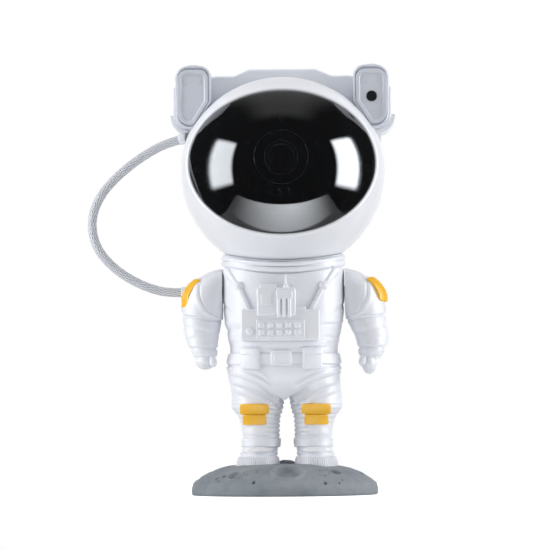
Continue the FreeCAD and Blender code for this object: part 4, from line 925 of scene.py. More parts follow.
# ---------------------------------------------------------------- hose
@dataclass
class Hose(SubAssembly):
    """The braided hose from the left arm's badge, round its loop, to the socket under the left ear pod."""

    diameter: float = 4.8
    strands: int = 12  # in each of the braid's two directions
    twist: float = 9.5  # length in which a strand moves on by one neighbour, times the strands
    relief: float = 0.3
    columns: int = 72
    step: float = 0.18
    bushing_form: tuple = ((-2.0, 2.2), (-1.9, 3.0), (0.7, 3.0), (0.95, 2.96), (1.15, 2.85), (1.28, 2.65),
                           (1.3, 2.2))  # distance out of the wall and radius
    bends: tuple = (  # length of hose, where its bend starts and ends in metres, and the bodies it joins
        ("hose_lower", (-0.097, 0.0, 0.110), (-0.090, 0.005, 0.169), "body", "neck_swivel"),
        ("hose_upper", (-0.085, 0.0, 0.1715), (-0.056, 0.0, 0.1875), "neck_swivel", "head"),
    )
    lower: tuple = (
        (-52.8, 0.0, 107.0), (-61.0, 0.0, 107.0), (-69.3, 0.2, 108.9), (-77.5, 0.5, 112.3),
        (-85.4, 0.9, 117.0), (-92.3, 1.4, 122.7), (-97.6, 2.0, 129.3), (-100.7, 2.7, 136.7),
        (-101.4, 3.4, 144.7), (-99.8, 4.1, 152.5), (-95.7, 4.8, 160.3), (-89.4, 5.4, 167.4),
        (-85.95, 5.65, 170.5),
    )
    upper: tuple = (
        (-85.95, 5.65, 170.5), (-82.5, 5.9, 173.6), (-75.2, 6.2, 178.9), (-68.0, 6.2, 183.3),
        (-60.8, 5.9, 186.5), (-53.8, 5.4, 188.4),
    )

    def line(self, name: str, points: Sequence[tuple]) -> Array:
        """Points, in metres, along the smooth spline whose control points are the route's.

        Args:
            name: Name for the curve.
            points: Control points in millimetres.

        Returns:
            The points, one row each.
        """
        curve = bpy.data.curves.new(name, "CURVE")
        curve.dimensions = "3D"
        spline = curve.splines.new("NURBS")
        spline.points.add(len(points) - 1)
        route = np.column_stack([np.array(points) * MM, np.ones(len(points))])
        spline.points.foreach_set("co", route.ravel())
        spline.order_u = 3
        spline.use_endpoint_u = True
        spline.resolution_u = 12
        obj = linked(name, curve)
        ready = obj.evaluated_get(bpy.context.evaluated_depsgraph_get())
        mesh = bpy.data.meshes.new_from_object(ready)
        path = np.empty(len(mesh.vertices) * 3)
        mesh.vertices.foreach_get("co", path)
        bpy.data.objects.remove(obj)
        bpy.data.curves.remove(curve)
        bpy.data.meshes.remove(mesh)
        return path.reshape(-1, 3)

    def weave(self, along: Array, turn: Array) -> Array:
        """The braid's height from 0 to 1: the higher of two crossing sets of half-round strands.

        Each set runs along lines of a + b or a - b, where a counts strands round the hose and b along it,
        and swings over and under the other set once for each strand it crosses.

        Args:
            along: Length along the hose in millimetres.
            turn: Angle round it in radians.

        Returns:
            The height at each place.
        """
        a, b = turn / (2 * math.pi) * self.strands, along / self.twist * 2
        heights = []
        for sign, mine, other in ((1, a + b, a - b), (-1, a - b, a + b)):
            across = 2 * (mine - np.floor(mine)) - 1
            swing = sign * np.cos(math.pi * np.floor(mine)) * np.sin(math.pi * other)
            heights.append(np.sqrt(1 - 0.92 * across**2) * 0.7 + 0.3 * swing)
        return np.clip(np.maximum(*heights), 0, 1)

    def sleeve(self, name: str, path: Array, start: float) -> bpy.types.Object:
        """The braided tube along a path, with its relief kept as an attribute and its run as a UV map.

        Args:
            name: The piece's name.
            path: Points of the centre line in metres.
            start: Length of hose before this path, in millimetres, so that the braid runs on.

        Returns:
            The object.
        """
        line = path / MM
        gone = np.concatenate([[0], np.cumsum(np.linalg.norm(np.diff(line, axis=0), axis=1))])
        count = int(gone[-1] / self.step)
        along = np.linspace(0, gone[-1], count)
        line = np.stack([np.interp(along, gone, line[:, k]) for k in range(3)], -1)
        for _ in range(6):
            line[1:-1] = (line[:-2] + 2 * line[1:-1] + line[2:]) / 4
        ahead = np.gradient(line, axis=0)
        ahead /= np.linalg.norm(ahead, axis=1, keepdims=True)
        side = np.cross(ahead, REARWARD)
        side /= np.linalg.norm(side, axis=1, keepdims=True)
        up = np.cross(side, ahead)
        turn = np.linspace(0, 2 * math.pi, self.columns, endpoint=False)
        height = self.weave(along[:, None] + start, turn[None, :])
        reach = (self.diameter / 2 - self.relief * (1 - height))[..., None]
        around = side[:, None] * np.cos(turn)[None, :, None] + up[:, None] * np.sin(turn)[None, :, None]
        grid = line[:, None] + reach * around
        rows, columns = grid.shape[:2]
        number = np.arange(rows * columns).reshape(rows, columns)
        beside = np.roll(number, -1, axis=1)
        quads = np.stack([number[:-1], number[1:], beside[1:], beside[:-1]], -1).reshape(-1, 4)
        ends = [number[0].tolist(), number[-1][::-1].tolist()]
        mesh = bpy.data.meshes.new(name)
        mesh.from_pydata((grid.reshape(-1, 3) * MM), [], quads.tolist() + ends)
        mesh.polygons.foreach_set("use_smooth", np.ones(len(mesh.polygons), bool))
        mesh.attributes.new("relief", "FLOAT", "POINT").data.foreach_set("value", height.ravel().astype(np.float32))
        corner = np.empty(len(mesh.loops), int)
        mesh.loops.foreach_get("vertex_index", corner)
        run = np.stack([along[corner // columns] + start, turn[corner % columns] * self.diameter / 2], -1)
        mesh.uv_layers.new(name="braid").data.foreach_set("uv", run.ravel())
        return linked(name, mesh)

    def bushing(self, foot: tuple, ahead: tuple) -> Surface:
        """A slim rounded sleeve round the hose's end, from 2 mm inside the wall to 1.3 mm outside.

        Args:
            foot: The hose's end.
            ahead: The next point of its route.

        Returns:
            The surface.
        """
        way = np.array(ahead) - np.array(foot)
        way /= np.linalg.norm(way)
        reach, radius = np.array(self.bushing_form).T
        return tube(np.array(foot) + reach[:, None] * way, radius, REARWARD, 48)

    def build(self) -> None:
        """Makes the two lengths of braided sleeve, and a bushing at each of the hose's ends."""
        start = 0.0
        for (name, first, last, low_body, high_body), route in zip(self.bends, (self.lower, self.upper)):
            path = self.line(name + "_line", route)
            length = float(np.linalg.norm(np.diff(path, axis=0), axis=1).sum())
            obj = self.sleeve("braided_" + name, path, start)
            HOSE_BRAID.put_on(obj)
            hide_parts(name)
            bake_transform(obj)
            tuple(first)
            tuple(last)
            LOG.info("%s: %.1f mm of braided sleeve", obj.name, length / MM)
            start += length / MM
        self.add("arm_bushing", self.bushing(*self.lower[:2]), SUIT_WHITE, "suit_white", ["arm_hose_socket"],
                 body="left_arm")
        self.add("head_bushing", self.bushing(*self.upper[:-3:-1]), HELMET_WHITE, "helmet_white",
                 ["head_hose_socket"], body="head")


# ---------------------------------------------------------------- helmet
@dataclass
class Helmet(SubAssembly):
    """White helmet: a ball below, a crown of two arcs above, the visor's opening with a rolled lip."""

    body: str = "head"
    centre_z: float = 171.5
    radius: float = 54.0
    crown: float = 49.1
    side_radius: float = 44.0
    seam_y: float = 6.0
    wall: float = 2.2
    visor_z: float = 174.4
    visor_half: tuple[float, float] = (49.9, 38.6)
    visor_recess: float = 0.7
    visor_wall: float = 1.6
    visor_gap: float = 0.2
    lip: tuple = ((0.0, -3.2), (0.0, -2.0), (0.0, -1.1), (0.05, -0.75), (0.2, -0.45), (0.5, -0.18), (0.9, 0.02),
                  (1.35, 0.13), (1.8, 0.16), (2.2, 0.13), (2.6, 0.07), (2.9, 0.03), (3.2, 0.01), (3.5, 0.0),
                  (3.8, 0.0))  # way from the opening's edge, and height over the skin
    optic_z: float = 176.0
    trim: tuple = ((13.8, -46.65, 0.22), (8.7, -41.9, 0.3), (6.9, -41.3, 0.16))  # radius, y, thickness / 2

    def __post_init__(self) -> None:
        """Works out the crown's top arc, which meets the side arc smoothly."""
        self.side_x = self.radius - self.side_radius
        rise = self.crown - self.side_radius
        self.top_radius = (self.side_x**2 + self.crown**2 - self.side_radius**2) / (2 * rise)
        self.top_z = self.crown - self.top_radius
        self.meeting = math.atan2(-self.top_z, self.side_x)

    def reach(self, up: Array, offset: Array | float = 0.0) -> Array:
        """Distance from the centre to the skin along rays with this rise, on each arc in turn.

        A ray leaves an arc of radius r about a point c at c.d + sqrt(r^2 - |c|^2 + (c.d)^2).

        Args:
            up: Sine of the ray's elevation.
            offset: Distance of the wanted skin outside the helmet's own.

        Returns:
            The distances.
        """
        out = np.sqrt(np.maximum(1 - up**2, 0))
        side_r, top_r = self.side_radius + offset, self.top_radius + offset
        side = self.side_x * out + np.sqrt(side_r**2 - (self.side_x * up) ** 2)
        top = self.top_z * up + np.sqrt(top_r**2 - (self.top_z * out) ** 2)
        meet_x, meet_z = self.side_x + side_r * math.cos(self.meeting), side_r * math.sin(self.meeting)
        over = up > meet_z / np.hypot(meet_x, meet_z)
        return np.where(up <= 0, self.radius + offset, np.where(over, top, side))

    def girth(self, z: Array, offset: float = 0.0) -> Array:
        """Radius of the skin's level circle at a height above the centre.

        Args:
            z: Height above the centre.
            offset: How far the skin is moved out.

        Returns:
            The radius at each height.
        """
        side_r, top_r = self.side_radius + offset, self.top_radius + offset
        low = np.sqrt(np.maximum((self.radius + offset) ** 2 - z**2, 0))
        side = self.side_x + np.sqrt(np.maximum(side_r**2 - z**2, 0))
        top = np.sqrt(np.maximum(top_r**2 - (z - self.top_z) ** 2, 0))
        over = z > side_r * math.sin(self.meeting)
        return np.where(z <= 0, low, np.where(over, top, side))

    def at(self, ray: Array, offset: Array | float = 0.0) -> Array:
        """Points of the skin along unit rays from the centre."""
        return ray * self.reach(ray[..., 2], offset)[..., None] + np.array([0.0, 0.0, self.centre_z])

    def front_ray(self, x: Array, z: Array, offset: float = 0.0) -> Array:
        """Unit rays to the points of the front skin at these x and heights above the centre.

        Args:
            x: Place from left to right.
            z: Height above the centre.
            offset: How far the skin is moved out.

        Returns:
            One unit ray for each place.
        """
        y = -np.sqrt(np.maximum(self.girth(z, offset) ** 2 - x**2, 0))
        ray = np.stack([x, y, z], -1)
        return ray / np.linalg.norm(ray, axis=-1, keepdims=True)

    def front_shell(self) -> Surface:
        """The front shell from inside the opening, over the rolled lip, to the seam and back along the wall.

        Columns go round the opening, and rows turn each column's ray from the opening towards the seam.

        Returns:
            The closed surface.
        """
        columns = 384
        turn = np.linspace(0, 2 * math.pi, columns + 1)
        half_w, half_h = self.visor_half
        low_z = self.visor_z - self.centre_z
        edge = self.front_ray(half_w * np.cos(turn), low_z + half_h * np.sin(turn))
        tilt = np.arccos(np.clip(-edge[:, 1], -1, 1))
        spin = np.arctan2(edge[:, 2], edge[:, 0])
        end = np.full_like(tilt, math.pi / 2)
        for _ in range(4):
            up = np.sin(end) * np.sin(spin)
            end = np.arccos(-self.seam_y / self.reach(up))
        away, height = np.array(self.lip).T
        lip_tilt = tilt[None, :] + away[:, None] / self.radius
        share = np.linspace(0, 1, 70)[1:, None]
        skin_tilt = lip_tilt[-1] + (end - lip_tilt[-1]) * share
        seam = smooth(0.985, 1.0, share) * -0.25
        tilts = np.concatenate([lip_tilt, skin_tilt, end[None], end[None], lip_tilt[-1:] + 0 * end, lip_tilt[:1]])
        offsets = np.concatenate([height, seam[:, 0], [-0.9, -self.wall, -self.wall, -self.wall]])
        offsets = np.repeat(offsets[:, None], columns + 1, axis=1)
        ray = np.stack([np.sin(tilts) * np.cos(spin), -np.cos(tilts) * np.ones_like(spin),
                        np.sin(tilts) * np.sin(spin)], -1)
        return Surface.sheet(np.concatenate([self.at(ray, offsets), self.at(ray[:1], offsets[:1])]))

    def visor(self) -> Surface:
        """The smoked pane: an outer and an inner skin over the opening's ellipse, with a rounded rim.

        Returns:
            The surface.
        """
        columns, rows = 320, 90
        turn = np.linspace(0, 2 * math.pi, columns + 1)
        half = np.array(self.visor_half) - self.visor_gap
        low_z = self.visor_z - self.centre_z
        share = np.sin(np.linspace(0, math.pi / 2, rows))
        rim = [(1.0, 0.12), (1.0, 0.35), (1.0, 0.8), (1.0, 1.3), (0.999, self.visor_wall)]
        share = np.concatenate([share * 0.9985, [s for s, _ in rim], share[::-6] * 0.998])
        deep = np.concatenate([np.zeros(rows), [d for _, d in rim], np.full(len(share) - rows - len(rim),
                                                                            self.visor_wall)])
        x = share[:, None] * half[0] * np.cos(turn)
        z = low_z + share[:, None] * half[1] * np.sin(turn)
        girth = sum(self.girth(z + lag, -self.visor_recess) for lag in np.linspace(-6, 6, 25)) / 25
        y = -np.sqrt(girth**2 - x**2) + deep[:, None]
        return Surface.sheet(np.stack([x, y, z + self.centre_z], -1))

    def build(self) -> None:
        """Makes the front shell and the visor, and dresses the rear shell and what is inside."""
        self.add("helmet_front", self.front_shell(), HELMET_WHITE, "helmet_white", ["helmet_front_shell"])
        self.add("helmet_visor", self.visor(), VISOR_SMOKE, "smoked_visor", ["visor"])
        rings = [revolved([(r + t * math.cos(a), y + t * math.sin(a)) for a in np.linspace(0, 2 * math.pi, 17)],
                          (0.0, 0.0, self.optic_z), Axis.Y, 96) for r, y, t in self.trim]
        self.add("barrel_trim_rings", Surface.joined(rings), NICKEL, "socket_metal")
        self.dress(["helmet_rear_shell"], HELMET_WHITE)
        self.dress(["optics_bracket", "lens_barrel"], INNER_BLACK)
        self.dress(["front_lens", "rear_lens", "ripple_wheel"], OPTICAL_GLASS)
        self.dress(["star_wheel", "motor_pinion"], INNER_BLACK)
        self.dress(["lamp_board"], LAMP_WHITE)
        self.dress(["heat_sink"], ALUMINIUM)
        self.dress(["laser_module"], BRASS)
        self.dress(["drive_motor", "head_screws", "armature_plate"], STEEL)
        self.dress(["control_board", "button_board"], BOARD_GREEN)


# ---------------------------------------------------------------- headset
@dataclass
class Headset(SubAssembly):
    """Grey housing over the helmet's back, and the two ear pods with their caps."""

    body: str = "head"
    helmet: Helmet = None
    pod_corners: tuple = ((37.5, 226.4, 6.0), (56.3, 226.4, 7.0), (56.3, 193.0, 8.0), (45.9, 193.0, 3.5),
                          (37.5, 207.0, 4.0))
    cap_corners: tuple = ((38.5, 224.6, 5.0), (55.6, 224.6, 5.6), (55.6, 194.8, 6.6), (46.3, 194.8, 3.2),
                          (38.5, 206.9, 4.0))
    pod_y: tuple[float, float] = (46.0, -9.3)
    settles_y: float = -6.5  # behind it the pod follows the helmet's skin
    bar_corners: tuple = ((44.2, 227.2, 0.9), (49.8, 227.2, 0.9), (49.8, 224.6, 0.4), (44.2, 224.6, 0.4))
    bar_y: tuple[float, float, float] = (18.0, 40.0, -3.0)  # middle, back and front of the bar on a pod
    sleeve_y: tuple[float, float] = (5.8, -6.4)  # thicker sleeve round the pod's lower half
    sleeve_top_z: float = 215.2
    sleeve_grow: float = 1.0
    cap_y: float = -9.9
    panel_y: float = -9.1
    cap_x: float = 47.2
    screws: tuple = ((-3.9, 217.4), (4.0, 217.4), (0.4, 202.4))
    receiver_z: float = 209.7
    receiver_radius: float = 2.85
    housing_corners: tuple = ((17.6, 225.4, 3.2), (25.7, 221.8, 2.0), (38.5, 221.8, 3.2), (38.5, 204.0, 6.0),
                              (37.6, 176.0, 8.0), (26.0, 159.5, 8.0))  # its right half, from the top
    housing_middle_z: float = 205.0
    housing_seam_y: float = 34.0
    front_edge: float = 0.8  # radius of the housing's front edge
    rear_edge: float = 2.6  # and of its rear edge
    housing_front_y: float = 7.0
    housing_rear_y: float = 60.0
    slope_sum: float = 266.0  # y + z on the slope behind the housing's top
    buttons: tuple = (-16.0, 0.0, 16.0)
    button_z: float = 197.0
    strip_half: tuple[float, float] = (25.0, 8.0)  # of the sunk strip round the buttons
    bezel: tuple[float, float] = (4.6, 6.0)  # inner and outer radius
    louvre_half: float = 15.0
    louvre_z: tuple[float, float] = (166.5, 183.5)
    louvre_first: float = 166.0
    louvre_pitch: float = 3.4
    sunk: float = -0.4  # how far a piece that meets the helmet dips under its skin

    def settled(self, surface: Surface, axis: Axis) -> Surface:
        """The surface, its points inside the helmet moved along X or Y until they lie just under its skin.

        Args:
            surface: The surface to settle.
            axis: The way its points move, X or Y.

        Returns:
            The settled surface.
        """
        along, other = axis.value, 1 - axis.value
        points = surface.points.copy()
        girth = self.helmet.girth(points[:, 2] - self.helmet.centre_z, self.sunk)
        reach = np.sqrt(np.maximum(girth**2 - points[:, other] ** 2, 0))
        inside = np.abs(points[:, along]) < reach
        points[inside, along] = reach[inside]
        return Surface(points, surface.faces)

    def pod(self) -> Surface:
        """The right pod: its outline along Y with rounded ends, and a bar on top.

        Returns:
            The pod and its bar as one surface.
        """
        outline = Outline.of(self.pod_corners, arc=12, run=0.9)
        back, front = self.pod_y
        side = np.linspace(back - 2.5, front + 2.5, 24)
        ends = rounded_edge(0.0, back, 2.2, 7), rounded_edge(0.0, front, 1.0, 7)
        rim = [(1.12, front), (1.2, front + 0.1), (1.22, front + 1.1)]
        profile = ends[0][:0:-1] + [(0.0, y) for y in side] + ends[1][1:] + rim
        slabbed = slab(outline, profile, 8)
        settled = self.settled(slabbed, Axis.X)
        behind = (slabbed.points[:, 1] > self.settles_y)[:, None]
        shell = Surface(np.where(behind, settled.points, slabbed.points), slabbed.faces)
        middle, back, front = self.bar_y
        edge = rounded_edge(middle, back, 0.8)[:0:-1] + rounded_edge(middle, front, 0.8)[1:]
        bar = slab(Outline.of(self.bar_corners, arc=5, run=1.0), edge, 2)
        return Surface.joined([shell, bar])

    def pod_sleeve(self) -> Surface:
        """The sleeve: the pod's lower outline grown a little, fading into the pod where it ends.

        Returns:
            The surface.
        """
        outline = Outline.of(self.pod_corners, arc=14, run=0.5)
        back, front = self.sleeve_y
        low = smooth(self.sleeve_top_z + 0.5, self.sleeve_top_z - 0.5, outline.points[:, 1])
        low = low * smooth(191.0, 198.0, outline.points[:, 1])
        outer = smooth(self.cap_x - 7.0, self.cap_x - 5.5, outline.points[:, 0])
        grow = low * outer * (self.sleeve_grow + 0.25) - 0.25
        rings = []
        for share, y in ((0.0, back), (0.75, back - 0.1), (1.0, back - 0.6), (1.0, front + 0.9),
                         (0.75, front + 0.25), (0.35, front), (-0.3, front)):
            out = grow * share if share > 0 else np.full_like(grow, -0.3)
            rings.append(np.insert(outline.points + outline.normals * out[:, None], 1, y, axis=1))
        return Surface.hoops(np.stack(rings))

    def cap(self) -> Surface:
        """The right pod's cap: a chamfered frame with a sunk panel and three shallow wells.

        Returns:
            The closed surface.
        """
        outline = Outline.of(self.cap_corners, arc=14, run=0.5)
        y, panel = self.cap_y, self.panel_y
        frame = [(1.4, -7.9), (0.47, -8.0), (0.45, y + 0.5), (0.51, y + 0.2), (0.62, y + 0.06), (0.85, y),
                 (2.15, y), (2.22, y + 0.03), (2.65, y + 0.46), (2.7, y + 0.56)]
        rows = [np.insert(outline.inset(inset), 1, place_y, axis=1) for inset, place_y in frame]
        ring = rows[-1] * np.array([1.0, 0.0, 1.0])
        middle = ring.mean(axis=0)
        shares = np.concatenate([[0.992, 0.985], np.linspace(0.97, 0.0, 46)])
        levels = np.concatenate([[panel - 0.12], np.full(47, panel)])
        rows += [middle + (ring - middle) * share + np.array([0.0, level, 0.0])
                 for share, level in zip(shares, levels)]
        grid = np.stack([rows[0] * REARWARD + middle] + rows)
        for dx, z in self.screws:
            away = np.hypot(grid[..., 0] - self.cap_x - dx, grid[..., 2] - z)
            grid[..., 1] += np.where(grid[..., 1] < panel + 0.1, 0.1 * (1 - smooth(1.2, 1.4, away)), 0.0)
        return Surface.hoops(grid)

    def cap_screws(self) -> Surface:
        """Six small three-armed plugs over the screws; their reach is a bell round each arm.

        Returns:
            The plugs of both caps as one surface.
        """
        turn = np.linspace(0, 2 * math.pi, 121)[None, :]
        away = np.abs((turn - math.pi / 2 + math.pi / 3) % (2 * math.pi / 3) - math.pi / 3)
        reach = 0.3 + 0.95 * ridge(away, 0.0, 0.24)
        share = np.array([0.0, 0.5, 0.9, 1.0, 1.0])[:, None]
        y = self.panel_y + np.array([-0.22, -0.22, -0.2, -0.1, 0.4])[:, None] + 0 * turn
        head = Surface.sheet(np.stack([share * reach * np.cos(turn), y, share * reach * np.sin(turn)], -1))
        spots = [(side.value * (self.cap_x + dx), z) for side in Side for dx, z in self.screws]
        return Surface.joined([head.moved(x, 0.0, z) for x, z in spots])

    def receiver(self) -> Surface:
        """The receiver: a dark polished dome, let into the right cap.

        Returns:
            The surface.
        """
        r, y = self.receiver_radius, self.cap_y
        profile = [(0.0, -6.5), (r, -6.5), (r, y + 0.5), (r - 0.12, y + 0.32), (r - 0.4, y + 0.2),
                   (r * 0.6, y + 0.1), (r * 0.3, y + 0.03), (0.0, y)]
        return revolved([(radius, h) for radius, h in profile], (self.cap_x, 0.0, self.receiver_z), Axis.Y, 64)

    def rear_y(self, z: Array) -> Array:
        """The housing's back at a height: upright below and sloping above, joined by a soft bend."""
        slope = self.slope_sum - z
        return (self.housing_rear_y + slope - np.sqrt((self.housing_rear_y - slope) ** 2 + 16.0)) / 2

    def housing(self) -> Surface:
        """The housing: its outline carried along Y to the bent back, with a seam, bezels and louvres.

        Returns:
            The surface.
        """
        corners = list(self.housing_corners) + [(-x, z, r) for x, z, r in self.housing_corners[::-1]]
        outline = Outline.of(corners, arc=12, run=0.7)
        front, edge_front, radius = self.housing_front_y, self.front_edge, self.rear_edge
        ring, middle = outline.inset(edge_front), np.array([0.0, self.housing_middle_z])
        rows, levels = [], []
        for share in np.linspace(0.02, 1.0, 60):
            rows.append(middle + (ring - middle) * share)
            levels.append(np.full(len(ring), front))
        for share in (0.35, 0.0):
            rows.append(outline.inset(edge_front * share))
            levels.append(np.full(len(outline.points), front + edge_front - edge_front * share))
        edge = self.rear_y(outline.points[:, 1])
        for share in np.linspace(0.06, 1.0, 60):
            groove = 0.45 * ridge(np.array(front + (50.0 - front) * share), self.housing_seam_y, 0.35)
            rows.append(outline.inset(float(groove)))
            levels.append(front + (edge - radius - front) * share)
        for angle in np.linspace(0, math.pi / 2, 8)[1:]:
            rows.append(outline.inset(radius * (1 - math.cos(angle))))
            levels.append(self.rear_y(rows[-1][:, 1]) - radius * (1 - math.sin(angle)))
        ring = outline.inset(radius)
        middle = np.array([0.0, self.button_z])
        for share in np.linspace(1.0, 0.0, 120)[1:]:
            rows.append(middle + (ring - middle) * share)
            levels.append(self.rear_y(rows[-1][:, 1]) + self.back_relief(rows[-1][:, 0], rows[-1][:, 1]))
        flat = np.stack(rows)
        grid = np.stack([flat[..., 0], np.stack(levels), flat[..., 1]], -1)
        return self.settled(Surface.hoops(grid), Axis.Y)

    def back_relief(self, x: Array, z: Array) -> Array:
        """Relief of the housing's back: a sunk strip with a bezel round each button, and cooling slots.

        Args:
            x: Place from left to right.
            z: Height.

        Returns:
            The height of the relief.
        """
        half_x, half_z = self.strip_half
        height = -0.6 * band(np.abs(x), -1.0, half_x, 0.35) * band(z, self.button_z - half_z,
                                                                   self.button_z + half_z, 0.35)
        for middle in self.buttons:
            away = np.hypot(x - middle, z - self.button_z)
            height = height + 0.75 * band(away, *self.bezel, 0.3) - 1.3 * (1 - smooth(4.35, 4.65, away))
        slots = band(np.abs(x), -1.0, self.louvre_half, 0.4) * band(z, *self.louvre_z, 0.3)
        wave = np.cos(2 * math.pi * (z - self.louvre_first) / self.louvre_pitch)
        return height - 1.1 * slots * smooth(-0.1, 0.35, wave)

    def build(self) -> None:
        """Makes the housing, the pods and their caps, and dresses the buttons."""
        self.add("headset_housing", self.housing(), HEADSET_GREY, "housing_grey", ["rear_housing"])
        for side in Side:
            self.add(f"{side.prefix}_ear_pod", self.pod().on(side), POD_GREY, "pod_grey",
                     [f"{side.prefix}_pod"])
            self.add(f"{side.prefix}_ear_pod_sleeve", self.pod_sleeve().on(side), POD_GREY, "pod_grey")
            self.add(f"{side.prefix}_ear_cap", self.cap().on(side), CAP_GREY, "pod_grey",
                     [f"{side.prefix}_pod_cap"], sharp=25.0)
        self.add("cap_screw_heads", self.cap_screws(), SCREW_GREY, "steel", ["pod_cap_screws"])
        self.add("receiver_lens", self.receiver(), RECEIVER_BLACK, "receiver_dark", ["remote_receiver"])
        self.dress(["star_button", "power_button", "nebula_button"], BUTTON_GREY)


# ---------------------------------------------------------------- torso
@dataclass
class Torso(SubAssembly):
    """White suit between collar and legs, with its collar, belt, harness and soft folds."""

    table: tuple = (
        (50.5, 27.6, 18.0, 16.5), (54.5, 29.2, 20.6, 18.8), (61.0, 30.2, 23.4, 21.3), (69.0, 29.6, 24.6, 21.8),
        (77.0, 28.4, 24.8, 21.6), (85.0, 29.8, 25.8, 22.4), (95.0, 31.6, 26.6, 24.0), (107.0, 32.0, 26.2, 25.0),
        (118.8, 31.8, 25.6, 25.6), (124.0, 31.4, 25.2, 25.2),
    )
    power: float = 2.4
    core: tuple[float, float, float] = (0.0, 0.0, 90.0)  # a point inside
    top_z: float = 123.0
    seat: tuple[float, float] = (171.5, 54.6)  # height and radius of the ball that the collar seats
    collar_half: tuple[float, float] = (31.8, 25.6)
    crease_x: tuple = (0.0, 5.5, 12.0, 19.6, 26.4, 30.5)
    crease_z: tuple = (50.0, 52.2, 56.8, 60.1, 62.4, 63.6)
    wells: tuple = ((-16.0, 66.5), (16.0, 66.5), (-19.5, 98.0), (19.5, 98.0))
    harness_lines: tuple = (  # left and right: x and z of the strut's foot, the joint and the strap's top
        ((-17.6, 97.0), (-23.1, 109.8), (-28.2, 117.6)), ((14.8, 97.0), (21.3, 109.8), (26.2, 117.8)),
    )
    gear: tuple = (  # on the belt: x from and to, z from and to, height and rounding of its edge
        (-6.4, 4.5, 67.9, 76.0, 1.9, 0.7), (-4.9, 3.0, 69.4, 74.5, 2.35, 0.4),
        (-21.8, -12.0, 66.0, 77.6, 2.2, 1.1), (10.0, 20.0, 66.0, 77.6, 2.2, 1.1),
        (-21.2, -12.6, 73.6, 77.2, 2.75, 0.6), (10.6, 19.4, 73.6, 77.2, 2.75, 0.6),
    )

    def skin(self, turn: Array, z: Array) -> Array:
        """A superellipse |x/a|^n + |y/b|^n = 1 whose half sizes follow the table up the torso.

        Args:
            turn: Angle round the torso; its cosine points along X.
            z: Height.

        Returns:
            The points.
        """
        wide, front, back = at_height(self.table, z)
        c, s = np.cos(turn), np.sin(turn)
        deep = np.where(s > 0, back, front)
        x = wide * np.sign(c) * np.abs(c) ** (2 / self.power)
        y = deep * np.sign(s) * np.abs(s) ** (2 / self.power)
        return np.stack([x, y, z + 0 * turn], -1)

    def front_y(self, x: Array, z: Array, shrink: float = 0.0) -> Array:
        """The y of the torso's front at a place seen from the front.

        Args:
            x: Place from left to right.
            z: Height.
            shrink: How far it lies inside the skin.

        Returns:
            The y of each place.
        """
        wide, front, _ = at_height(self.table, z)
        share = np.clip(np.abs(x) / (wide - shrink), 0, 1)
        return -(front - shrink) * (1 - share**self.power) ** (1 / self.power)

    def front_skin(self, x: Array, z: Array) -> Array:
        """Points of the torso's front by x and height, for pieces that lie on it."""
        return np.stack([x, self.front_y(x, z), z], -1)

    def hem(self, x: Array) -> Array:
        """Height of the crease between torso and thigh at a distance from the middle."""
        return through(self.crease_x, self.crease_z, np.abs(x))

    def relief(self, p: Array) -> Array:
        """Height of the folds: belt, ledges, side creases, hip folds, seam and screw wells.

        Args:
            p: Points of any array shape.

        Returns:
            The height above the plain skin at each point.
        """
        x, y, z = p[..., 0], p[..., 1], p[..., 2]
        ax, side = np.abs(x), smooth(18.0, 29.0, np.abs(x))
        front = smooth(2.0, -4.0, y)
        belt = 0.75 * band(z, 68.9, 74.4, 0.35) - 0.25 * ridge(z, 68.2, 0.5) - 0.25 * ridge(z, 75.1, 0.5)
        ledge = 0.5 * band(z, 78.1, 80.6, 0.3) * band(ax, -1, 22.5, 0.6) * front
        creases = side * (-0.5 * ridge(z, 88.4 + 0.05 * x, 0.9) + 0.35 * ridge(z, 90.6, 1.6)
                          - 0.3 * ridge(z, 84.2 - 0.06 * x, 0.8) + 0.25 * ridge(z, 81.6, 1.4)
                          - 0.4 * ridge(z, 65.4, 0.6) + 0.35 * ridge(z, 66.8, 0.9))
        arm_pit = -0.5 * ridge(z - 0.9 * (ax - 28.0), 96.5, 1.3) * smooth(24.0, 30.0, ax)
        under = z - self.hem(x)
        hips = (0.5 * ridge(under, 3.2, 1.5) - 0.45 * ridge(under, 5.4, 0.8) + 0.3 * ridge(under, 7.4, 1.2))
        hips = hips * smooth(3.0, 10.0, ax) * (0.3 + 0.7 * smooth(-1.0, -9.0, y))
        seam = -0.3 * ridge(y, 0.0, 0.28)
        wells = 0 * x
        for wx, wz in self.wells:
            away = np.hypot(x - wx, z - wz)
            wells = wells - 3.0 * (1 - smooth(2.2, 2.6, away)) * (y > 5)
        soft = 0.08 * scatter_noise(p, 19.0, 3) * band(z, 60.0, 112.0, 6.0)
        edge = self.seat[0] - np.sqrt(np.maximum(self.seat[1] ** 2 - x**2 - y**2, 1.0)) - 7.1
        under_collar = -1.3 * ridge(z - edge, 0.0, 0.4)
        return belt + ledge + creases + arm_pit + hips + seam + wells + soft + under_collar

    def suit(self) -> Surface:
        """The suit: rows from inside the torso round the rolled hem to under the collar.

        Returns:
            The surface.
        """
        turn = np.linspace(0, 2 * math.pi, 481)
        edge = self.hem(self.skin(turn, np.full_like(turn, 60.0))[:, 0])
        share = np.linspace(0, 1, 230)[:, None]
        z = edge + (self.top_z - edge) * share
        u = np.broadcast_to(turn, z.shape)
        p = self.skin(u, z)
        roll = np.sqrt(np.clip((z - edge) / 1.2, 0, 1))
        height = self.relief(p) - 1.1 * (1 - roll)
        grid = raised(self.skin, u, z, height, self.core)
        inner = raised(self.skin, u[:1], z[:1] + 1.5, np.full((1, len(turn)), -2.2), self.core)
        deep = raised(self.skin, u[:1], z[:1] + 9.0, np.full((1, len(turn)), -2.2), self.core)
        return Surface.sheet(np.concatenate([deep, inner, grid]))

